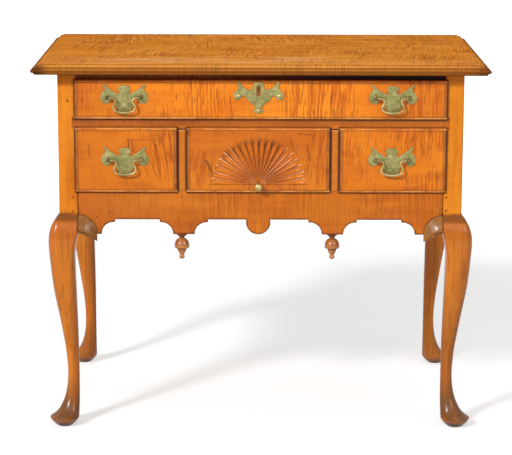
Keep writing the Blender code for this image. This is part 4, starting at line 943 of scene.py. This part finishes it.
def knee_block(word, side, end, on_side):
    """The block that carries the knee's swell on to the apron or side panel."""
    rings = []
    for step in range(19):
        share = 1 - (1 - step / 18) ** 1.5
        along = BLOCK_REACH * share
        low = BLOCK_LOW + BLOCK_RISE * (1 - share**1.25)
        high = BLOCK_SHOULDER + BLOCK_OVAL[1] * math.sqrt(1 - (along / BLOCK_OVAL[0]) ** 2)
        fade = (1 - share**2) ** 0.7
        outline = [(0.0, low)]
        for rise, fullness in (*BLOCK_BEAD, *((i / 30, 1.0) for i in range(8, 31))):
            at_leg = BLOCK_LOW + BLOCK_RISE + (KNEE_TOP - BLOCK_LOW - BLOCK_RISE) * rise
            swell = fullness * fade * max(through(LEG_OUTER, at_leg) - 0.0008, 0.0)
            outline.append((max(swell, BLOCK_EDGE), low + (high - low) * rise))
        outline.append((0.0, high))
        if on_side:
            y = (FRONT if end < 0 else BACK) - end * (POST + SEAT + along)
            rings.append([(side * (HALF_WIDTH + SEAT + out), y, z) for out, z in outline])
        else:
            rings.append([(side * (INNER - SEAT - along), FRONT - SEAT - out, z) for out, z in outline])
    node = f"knee_block_{word}"
    put(smooth(loft("fine_" + node, rings, BLOCK_WOOD), 40), "case", "curly_maple", node)


# Apron, side panels and drops

EDGE_STEP, EDGE_STEP_RUN = 0.0057, 0.0025
EDGE_HIGH = EDGE_FLAT - EDGE_STEP
LOBE_RADIUS = 0.025
CORNER_RADIUS = min(LOBE_RADIUS, EDGE_HIGH - EDGE_LOW)
TAB_CENTRE, TAB_WIDTH = 0.1525, 0.044
BRACKET, SIDE_BRACKET = 0.0515, 0.050
PANEL_THICKNESS = 0.017
ARC_STEPS = 18
EASED = 0.0006  # edges of the apron and the sides
STUB_WIDTH, STUB_SETBACK, STUB_THICKNESS = 0.016, 0.005, 0.009  # of the dividers' ends
HANDS = (-1, "left"), (1, "right")  # a way along X and its word


def fall(at):
    """A step and a hollow corner down to the lowest edge."""
    step = at - EDGE_STEP_RUN
    return [(step, EDGE_FLAT), (step, EDGE_HIGH), *arc((at, EDGE_LOW), CORNER_RADIUS, 90, 0, ARC_STEPS)]


def climb(at):
    """The same, mirrored, up from the lowest edge."""
    return [(2 * at - x, z) for x, z in reversed(fall(at))]


def apron_edge():
    """Lower edge of the apron, left to right, with its lobe, tabs and brackets."""
    lobe_z = EDGE_LOW + LOBE_RADIUS
    meet = math.degrees(math.asin((EDGE_FLAT - lobe_z) / LOBE_RADIUS))
    tab = TAB_WIDTH / 2 + CORNER_RADIUS
    half = arc((0.0, lobe_z), LOBE_RADIUS, -90, meet, ARC_STEPS)
    half += fall(TAB_CENTRE - tab) + climb(TAB_CENTRE + tab) + fall(INNER - BRACKET - CORNER_RADIUS)
    left = [(CENTRE - x, z) for x, z in reversed(half[1:])]
    right = [(CENTRE + x, z) for x, z in half]
    end = INNER - SEAT
    return [(-end, EDGE_LOW), *left, *right, (end, EDGE_LOW)]


def apron():
    end = INNER - SEAT
    middle = (0.0, FRONT + APRON_THICKNESS / 2, 0.0)
    outline = apron_edge() + [(end, APRON_TOP), (-end, APRON_TOP)]
    board = plate("fine_front_skirt", [outline], APRON_THICKNESS, EASED, APRON_WOOD, facing_front(middle))
    sockets = []
    for _, word in HANDS:
        x, foot = middle_of(f"divider_{word}")[0], box_of(f"divider_{word}")[0].z
        low = (x - STUB_WIDTH / 2, FRONT + STUB_SETBACK, foot)
        high = (x + STUB_WIDTH / 2, FRONT + STUB_SETBACK + STUB_THICKNESS, APRON_TOP + PAST)
        sockets.append(roomy("socket", low, high, APRON_WOOD))
    put(cut(board, sockets, 30), "case", "curly_maple", "front_skirt")


def side_panels():
    length = BACK - FRONT - 2 * POST - 2 * SEAT
    first = [(0.0, EDGE_LOW), *climb(SIDE_BRACKET + CORNER_RADIUS)]
    top = TOP_UNDERSIDE - SEAT
    outline = first + [(length - along, z) for along, z in reversed(first)] + [(length, top), (0.0, top)]
    for side, word in HANDS:
        node = f"side_panel_{word}"
        at = (side * (HALF_WIDTH - PANEL_THICKNESS / 2), FRONT + POST + SEAT, 0.0)
        board = plate("fine_" + node, [outline], PANEL_THICKNESS, EASED, SIDE_WOOD, facing_side(at))
        put(board, "case", "curly_maple", node)


# Radius and height
DROP_PROFILE = (
    (0.0, 0.0), (0.0114, -0.0003), (0.0106, -0.0026), (0.0070, -0.0058), (0.0049, -0.0080), (0.0062, -0.0098),
    (0.0108, -0.0128), (0.0139, -0.0177), (0.0154, -0.0232), (0.0155, -0.0272), (0.0144, -0.0298),
    (0.0101, -0.0303), (0.0090, -0.0352), (0.0066, -0.0402), (0.0045, -0.0445), (0.0056, -0.0478),
    (0.0052, -0.0505), (0.0032, -0.0527), (0.0, -0.0533),
)
KNOB_PROFILE = (
    (0.0, 0.0177), (0.0035, 0.0172), (0.0062, 0.0155), (0.0077, 0.0128), (0.0079, 0.0105), (0.0068, 0.0080),
    (0.0043, 0.0062), (0.0036, 0.0045), (0.0050, 0.0030), (0.0066, 0.0020), (0.0066, 0.0003),
)


def fine_profile(points):
    """A turned profile, rounded between its points, kept off negative radii."""
    return [(max(radius, 0.0), height) for radius, height in curved(points)]


def drops():
    for _, word in HANDS:
        x, y, _ = middle_of(f"drop_{word}")
        place = Matrix.Translation((x, y, EDGE_LOW))
        piece = turned(f"fine_drop_{word}", fine_profile(DROP_PROFILE), DROP_WOOD, place, 48)
        put(piece, "case", "curly_maple", f"drop_{word}")


# Drawers

THUMB_RUN, THUMB_STEP, THUMB_FALL = 0.0062, 0.0011, 0.0046
THUMB_EASED = 0.0003
LIP_X, LIP_Z = 0.006, 0.0036
PLAY_X, PLAY_TOP = 0.0012, 0.002  # between a drawer's body and its opening
DRAWER_WOODS = {
    "top": LONG_DRAWER_WOOD, "left": LEFT_DRAWER_WOOD, "centre": FAN_DRAWER_WOOD, "right": RIGHT_DRAWER_WOOD,
}
TAIL_LENGTH, TAIL_SLOPE, TAIL_SHARE = 0.0112, 1 / 6, 0.36
KEY_EYE, KEY_RADIUS, KEY_SLOT, KEY_DROP = 0.7125, 0.0015, 0.0013, 0.0072
KEY_OVER_PLATE = 0.0185


def groove(word):
    """A cutter for the groove that holds a drawer's bottom."""
    return roomy("groove", *box_of(f"drawer_{word}_bottom"), PINE_DEEP)


def tails(word, tag):
    """Heights and half widths at the tip of the dovetails at the front of a drawer's side."""
    low, high = box_of(f"drawer_{word}_{tag}")
    count = 2 if word == "top" else 4
    pitch = (high.z - low.z) / count
    return [(low.z + pitch * (i + 0.5), pitch * TAIL_SHARE) for i in range(count)]


def tail_socket(tail, side_box, side):
    """A cutter for one dovetail, open at the end of the drawer front."""
    z, half = tail
    low, high = side_box
    inner, outer = (high.x + SEAT, low.x - 0.001) if side < 0 else (low.x - SEAT, high.x + 0.001)
    tip, start = low.y - TAIL_LENGTH - SEAT, low.y + 0.001
    waist = half - TAIL_LENGTH * TAIL_SLOPE + SEAT
    corners = (tip, half + SEAT), (start, waist), (start, -waist), (tip, -half - SEAT)
    rings = [[(x, y, z + rise) for y, rise in corners] for x in sorted((inner, outer))]
    return loft("tail_socket", rings, PINE_DEEP)


def drawer_sides(word):
    """The sides of a drawer, dovetailed into its front."""
    for tag in ("left_side", "right_side"):
        node = f"drawer_{word}_{tag}"
        low, high = box_of(node)
        outline = [(low.y, low.z)]
        for z, half in tails(word, tag):
            waist, tip = half - TAIL_LENGTH * TAIL_SLOPE, low.y - TAIL_LENGTH
            outline += [(low.y, z - waist), (tip, z - half), (tip, z + half), (low.y, z + waist)]
        outline += [(low.y, high.z), (high.y, high.z), (high.y, low.z)]
        at = facing_side(((low.x + high.x) / 2, 0.0, 0.0))
        board = plate("fine_" + node, [outline], high.x - low.x, 0.0004, PINE_DEEP, at)
        put(cut(board, [groove(word)], 30), f"drawer_{word}", "pine", node)


def upright(y, left, right, bottom, top):
    """A rectangle that faces the front."""
    return [(left, y, bottom), (right, y, bottom), (right, y, top), (left, y, top)]


def drawer_front(word):
    """A drawer front: a flat field, a small step, a rounded lip and the body behind it."""
    node = f"drawer_{word}_front"
    low, high = box_of(node)
    sections = [(THUMB_RUN + THUMB_EASED, FACE), (THUMB_RUN, FACE + THUMB_EASED)]
    for i in range(13):
        a = math.radians(90 * i / 12)
        sections.append((THUMB_RUN * (1 - math.sin(a)), FACE + THUMB_STEP + THUMB_FALL * (1 - math.cos(a))))
    sections.append((0.0, FRONT - SEAT))
    rings = [upright(y, low.x + run, high.x - run, low.z + run, high.z - run) for run, y in sections]
    side = LIP_X + PLAY_X
    body = low.x + side, high.x - side, low.z + LIP_Z + SEAT, high.z - LIP_Z - PLAY_TOP
    rings += [upright(y, *body) for y in (FRONT - SEAT, high.y)]
    cutters = [groove(word)]
    if word == "centre":
        cutters = [fan_gouges(low.z), fan_baseline(low.z), *cutters]
    if word == "top":
        recess_low, recess_high = box_of("lock_case")
        recess = box_piece("recess", recess_low - ROOM, recess_high + Vector((SEAT, PAST, PAST)), IRON)
        cutters = [recess, *keyhole(recess_low.y), *cutters]
    for way, tag in HANDS:
        board = f"{tag}_side"
        cutters += [tail_socket(tail, box_of(f"drawer_{word}_{board}"), way) for tail in tails(word, board)]
    piece = loft("fine_" + node, rings, DRAWER_WOODS[word])
    put(cut(piece, cutters, 24), f"drawer_{word}", "curly_maple", node)


def keyhole(deep):
    """The round eye and the slot that lead to the lock."""
    start, finish = FACE - PAST, deep + PAST
    profile = [(0.0, 0.0), (KEY_RADIUS, 0.0), (KEY_RADIUS, finish - start), (0.0, finish - start)]
    eye = turned("key_eye", profile, LONG_DRAWER_WOOD, pointing((CENTRE, start, KEY_EYE), (0, 1, 0)), 24)
    low, high = (CENTRE - KEY_SLOT / 2, start, KEY_EYE - KEY_DROP), (CENTRE + KEY_SLOT / 2, finish, KEY_EYE)
    return [eye, box_piece("key_slot", low, high, LONG_DRAWER_WOOD)]


def fan_gouges(lip_low):
    """The carver's cuts: tapered hollows that widen from the hub and end round."""
    slope = math.tan((math.pi / FAN_RAYS - FAN_RIDGE / FAN_RADIUS) / 2)
    centre = Vector((CENTRE, FACE, lip_low + FAN_RISE))
    end_run = 0.017
    straight = FAN_RADIUS - end_run
    widest = straight * slope
    stations = []
    for share, fullness in (
        (0.0, 0.1), (0.03, 0.35), (0.08, 0.65), (0.16, 0.9), (0.3, 1.0), (0.55, 1.0), (0.8, 1.0),
    ):
        distance = FAN_HUB + (straight - FAN_HUB) * share
        half = fullness * distance * slope
        stations.append((distance, half, FAN_DEPTH * half / widest))
    for share in (0.10, 0.20, 0.30, 0.40, 0.50, 0.60, 0.70, 0.80, 0.88, 0.95, 0.99):
        half = widest * (1 + 0.12 * share) * (1 - share**2.4)
        stations.append((straight + end_run * share, half, FAN_DEPTH * (1 - share**1.5)))
    facets = [math.pi * i / FAN_FACETS for i in range(FAN_FACETS + 1)]
    bm = bmesh.new()
    for ray in range(FAN_RAYS):
        angle = math.pi * (ray + 0.5) / FAN_RAYS
        along = Vector((math.cos(angle), 0.0, math.sin(angle)))
        across = Vector((-math.sin(angle), 0.0, math.cos(angle)))
        rings = []
        for distance, half, depth in stations:
            at = centre + along * distance
            ring = [at + across * (half * way) + Vector((0.0, -PAST, 0.0)) for way in (-1, 1)]
            ring += [at + across * (half * math.cos(a)) + Vector((0, depth * math.sin(a), 0)) for a in facets]
            rings.append(ring)
        skin(bm, rings)
    return from_bmesh("gouges", bm, FAN_DRAWER_WOOD)


def fan_baseline(lip_low):
    """The line scribed under the fan."""
    z, reach = lip_low + FAN_RISE, FAN_RADIUS + 0.002
    low = (CENTRE - reach, FACE - PAST, z - 0.0004)
    return box_piece("baseline", low, (CENTRE + reach, FACE + 0.0009, z + 0.0004), FAN_DRAWER_WOOD)


# Brasses

PLATE_THICKNESS = 0.0016
PLATE_FACE = FACE - SEAT - PLATE_THICKNESS
PLATE_MIDDLE = FACE - SEAT - PLATE_THICKNESS / 2
POST_SPREAD, POST_REACH = 0.034, 0.0085
BAIL_RADIUS, PIN_RADIUS = 0.0021, 0.0015
# Half of each outline, from its top middle round to its bottom middle
PLATE_HALF = (
    (0.0000, 0.0242), (0.0065, 0.0236), (0.0110, 0.0206), (0.0122, 0.0166), (0.0100, 0.0124),
    (0.0084, 0.0098), (0.0104, 0.0078), (0.0146, 0.0074), (0.0195, 0.0104), (0.0265, 0.0150),
    (0.0330, 0.0196), (0.0372, 0.0246), (0.0414, 0.0264), (0.0436, 0.0250), (0.0418, 0.0216),
    (0.0396, 0.0172), (0.0418, 0.0122), (0.0468, 0.0064), (0.0484, -0.0008), (0.0466, -0.0076),
    (0.0415, -0.0122), (0.0360, -0.0128), (0.0310, -0.0100), (0.0270, -0.0046), (0.0215, -0.0034),
    (0.0178, -0.0042), (0.0164, -0.0070), (0.0172, -0.0125), (0.0164, -0.0190), (0.0142, -0.0245),
    (0.0108, -0.0284), (0.0060, -0.0310), (0.0030, -0.0334), (0.0000, -0.0364),
)
ESCUTCHEON_HALF = (
    (0.0000, 0.0284), (0.0036, 0.0312), (0.0076, 0.0308), (0.0104, 0.0264), (0.0116, 0.0200),
    (0.0134, 0.0154), (0.0180, 0.0154), (0.0245, 0.0176), (0.0310, 0.0216), (0.0360, 0.0276),
    (0.0388, 0.0316), (0.0424, 0.0314), (0.0412, 0.0258), (0.0408, 0.0190), (0.0462, 0.0118),
    (0.0508, 0.0044), (0.0494, -0.0022), (0.0440, -0.0054), (0.0376, -0.0032), (0.0332, 0.0016),
    (0.0286, 0.0028), (0.0246, -0.0012), (0.0224, -0.0066), (0.0156, -0.0104), (0.0104, -0.0150),
    (0.0066, -0.0200), (0.0050, -0.0226), (0.0096, -0.0256), (0.0098, -0.0284), (0.0052, -0.0314),
    (0.0000, -0.0344),
)
BAIL_HALF = (
    (0.0300, 0.0), (0.0218, -0.0010), (0.0170, -0.0058), (0.0192, -0.0126), (0.0222, -0.0190),
    (0.0200, -0.0254), (0.0108, -0.0292), (0.0000, -0.0302),
)
# Radius and height
POST_PROFILE = (
    (0.0, 0.0120), (0.0016, 0.0119), (0.0030, 0.0110), (0.0037, 0.0094), (0.0037, 0.0078), (0.0031, 0.0060),
    (0.0024, 0.0044), (0.0024, 0.0026), (0.0033, 0.0017), (0.0041, 0.0010), (0.0042, 0.0001), (0.0, 0.0001),
)


def brass_plate(name, half, at, *holes):
    """A flat brass in a smooth outline made from its right half."""
    right = curved(half)
    outline = [*right, *(Vector((-p.x, p.y)) for p in reversed(right[1:-1]))]
    return plate(name, [outline, *holes], PLATE_THICKNESS, 0.0005, BRASS, facing_front(at))


def pull(word, body):
    """A plate with its two turned posts, and the bail that hangs between them."""
    x, top = middle_of(f"bail_{word}")[0], box_of(f"bail_{word}")[1].z
    pivot = Vector((x, PLATE_FACE - POST_REACH, top - BAIL_RADIUS))
    back = brass_plate(f"fine_pull_plate_{word}", PLATE_HALF, (x, PLATE_MIDDLE, pivot.z))
    put(back, body, "aged_brass", f"pull_plate_{word}")
    for side, tag in HANDS:
        turn = pointing((x + side * POST_SPREAD, PLATE_FACE, pivot.z))
        post = turned(f"pull_post_{word}_{tag}", fine_profile(POST_PROFILE), SHADED_POST_BRASS, turn, 24)
        put(post, body, "aged_brass")
    bail(word, pivot)


def bail(word, pivot):
    """The swan-necked bail, with thin ends in its posts."""
    right = [(p.x, p.y, BAIL_RADIUS) for p in curved(BAIL_HALF, 8)]
    right = [(0.0360, 0.0, PIN_RADIUS), (0.0306, 0.0, PIN_RADIUS), *right]
    route = right + [(-a, b, r) for a, b, r in reversed(right[:-1])]
    curve = bpy.data.curves.new(f"fine_bail_{word}", "CURVE")
    curve.dimensions = "3D"
    curve.bevel_depth = 1.0
    curve.bevel_resolution = 5
    curve.use_fill_caps = True
    spline = curve.splines.new("POLY")
    spline.points.add(len(route) - 1)
    for point, (a, b, radius) in zip(spline.points, route):
        point.co = (pivot.x + a, pivot.y, pivot.z + b, 1.0)
        point.radius = radius
    spline.use_smooth = True
    piece = linked(f"fine_bail_{word}", curve)
    piece.data.materials.append(BAIL_BRASS)
    put(piece, f"bail_{word}", "aged_brass", f"bail_{word}")


def nail(name, at, radius, height, finish, body, slot):
    """A small domed head standing out of the front."""
    angles = [math.radians(a) for a in range(15, 91, 15)]
    dome = [(radius * math.sin(a), height * math.cos(a)) for a in angles]
    put(turned(name, [(0.0, height), *dome, (0.0, 0.0)], finish, pointing(at), 16), body, slot)


def escutcheon():
    """The keyhole plate of the long drawer with its long window, and its three nails."""
    z = KEY_EYE - KEY_OVER_PLATE
    half, tall, rise = 0.0044, 0.0225, 0.0130
    reach = tall / 2 - half
    window = arc((0.0, rise + reach), half, 0, 180, 10) + arc((0.0, rise - reach), half, 180, 360, 10)
    shield = brass_plate("fine_escutcheon", ESCUTCHEON_HALF, (CENTRE, PLATE_MIDDLE, z), window)
    put(shield, "drawer_top", "aged_brass", "escutcheon")
    for tag, x, up in (("left", -0.041, 0.003), ("right", 0.041, 0.003), ("foot", 0.0, -0.0275)):
        at = (CENTRE + x, PLATE_FACE, z + up)
        nail(f"escutcheon_nail_{tag}", at, 0.0036, 0.0020, KNOB_BRASS, "drawer_top", "aged_brass")


def fan_knob():
    x, _, z = middle_of("fan_knob")
    profile = [*fine_profile(KNOB_PROFILE), (0.0, 0.0003)]
    knob = turned("fine_fan_knob", profile, KNOB_BRASS, pointing((x, FACE, z)), 36)
    put(knob, "drawer_centre", "aged_brass", "fan_knob")


# Small marks on the front: place in X and Z
PEGS = (
    ("upper_left", -0.3914, 0.6843), ("left_high", -0.3837, 0.4862), ("left_low", -0.3840, 0.4559),
    ("right_high", 0.3797, 0.4868), ("right_low", 0.3800, 0.4590),
)
SCARS = ("apron_one", -0.3354, 0.4445), ("apron_two", -0.3088, 0.4540)
DRAWER_MARKS = (
    ("one", -0.2153, 0.7023), ("two", -0.1715, 0.6950), ("three", 0.0517, 0.7007), ("four", 0.0544, 0.6958),
)


def marks():
    for prefix, places, front, radius, height, finish, body in (
        ("peg_", PEGS, FRONT, 0.0030, 0.0004, PEG, "case"),
        ("scar_", SCARS, FRONT, 0.0014, 0.0003, HOLE, "case"),
        ("drawer_mark_", DRAWER_MARKS, FACE, 0.0012, 0.0003, HOLE, "drawer_top"),
    ):
        for tag, x, z in places:
            nail(prefix + tag, (x, front + 0.0001, z), radius, height, finish, body, "curly_maple")


def dress_nodes():
    """Better materials for the CAD nodes that stay."""
    for name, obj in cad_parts.items():
        if name == "mid_rail":
            finish = RAIL_WOOD
        elif name == "top_rail":
            finish = SHADED_TOP_RAIL_WOOD
        elif name.startswith("divider"):
            finish = DIVIDER_WOOD
        elif name.startswith("lock"):
            finish = IRON
        elif name == "back_panel":
            finish = PINE_BACK
        elif "runner" in name or name.endswith("_side"):
            finish = PINE_DEEP
        else:
            finish = PINE_LONG
        obj.data.materials.clear()
        obj.data.materials.append(finish)


# Studio


def camera():
    lens = bpy.data.cameras.new("camera")
    lens.lens = 142.97
    lens.sensor_width = 36.0
    eye = linked("camera", lens)
    tilt = Matrix.Rotation(math.radians(90 - 12.029), 4, "X")
    roll = Matrix.Rotation(math.radians(0.149), 4, "Z")
    eye.matrix_world = Matrix.Translation((-0.009, FRONT - 4.081, 1.293)) @ tilt @ roll
    bpy.context.scene.camera = eye


def lamp(name, at, target, size, power):
    light = bpy.data.lights.new(name, "AREA")
    light.shape = "RECTANGLE"
    light.size, light.size_y = size
    light.energy = power
    obj = linked(name, light)
    obj.matrix_world = pointing(at, Vector(target) - Vector(at), "-Z")
    return obj


def seen_ray(s):
    """1 for what the camera sees, straight or in metal and polish."""
    seen = s.add("LightPath", {}, "Is Camera Ray")
    path = seen.socket.node.outputs
    for kind in ("Is Glossy Ray", "Is Transmission Ray"):
        seen = s.math("MAXIMUM", seen, Term(s, path[kind]))
    return seen


def studio():
    scene = bpy.context.scene
    scene.view_settings.view_transform = "Standard"
    world = bpy.data.worlds.new("studio")
    scene.world = world
    world.use_nodes = True
    s = Shader("studio", world.node_tree)
    back = s.tree.nodes["Background"]
    s.put(back.inputs["Color"], (1.0, 1.0, 1.0))
    level = s.add("MapRange", {"Value": seen_ray(s), "To Min": 0.23, "To Max": 1.0})
    s.put(back.inputs["Strength"], level)
    lamp("key", (-7.4, -9.8, 8.05), (0.0, 0.0, 0.35), (2.0, 2.0), 1560)
    lamp("fill", (3.4, -3.6, 2.6), (0.0, 0.0, 0.45), (1.6, 1.6), 26)
    lamp("front", (0.4, -3.4, 3.0), (0.0, 0.0, 0.45), (2.4, 1.2), 26)
    lamp("over", (0.2, 0.5, 3.2), (0.0, 0.0, 0.7), (2.4, 2.0), 18)
    for side, tag in HANDS:
        # Soft boxes that only show as highlights on the rounded, polished places
        box = lamp("sheen_" + tag, (side * 2.9, -2.9, 2.5), (0.0, 0.0, 0.4), (1.1, 1.7), 62)
        box.visible_diffuse = False
    floor()


def floor():
    """A pale floor that shows white, with its shadows kept."""
    bm = bmesh.new()
    bmesh.ops.create_grid(bm, x_segments=1, y_segments=1, size=30.0)
    s = Shader("floor")
    s.tree.nodes.remove(s.surface)
    where = s.add("TexCoord", {}, "Object")
    x, y, _ = s.split(where)
    far = s.ramp(s.length(x + 0.3, y - 0.3), 0.8, 2.9)
    # Greyer to the right: painted shade on the floor
    to_right = s.ramp(x, 0.45, 1.3)
    plain = s.add("BsdfDiffuse", {"Color": s.mix((0.62, 0.62, 0.62), (0.66, 0.66, 0.66), s.noise(where, 3))})
    seen = s.add("BsdfDiffuse", {"Color": s.mix((0.62, 0.62, 0.62), (0.56, 0.56, 0.56), to_right)})
    glow = s.add("Emission", {"Color": (1.0, 1.0, 1.0), "Strength": s.ramp(far, 0.0, 1.0, 0.55, 1.0)})
    both = s.add("AddShader", {0: seen, 1: glow})
    surface = s.add("MixShader", {0: seen_ray(s), 1: plain, 2: both})
    s.put(s.tree.nodes["Material Output"].inputs["Surface"], surface)
    ground = from_bmesh("floor", bm, s.material)
    ground.location.z = -0.0005


def build():
    dress_nodes()
    top_board()
    for side, word in HANDS:
        for end, where in ((-1, "front"), (1, "rear")):
            leg(f"{where}_{word}", side, end)
            knee_block(f"side_{where}_{word}", side, end, True)
        knee_block(f"front_{word}", side, -1, False)
    apron()
    side_panels()
    drops()
    for word in DRAWER_WOODS:
        drawer_front(word)
        drawer_sides(word)
    for _, tag in HANDS:
        pull(f"top_{tag}", "drawer_top")
    for _, tag in HANDS:
        pull(f"lower_{tag}", f"drawer_{tag}")
    escutcheon()
    fan_knob()
    marks()
    camera()
    studio()


build()
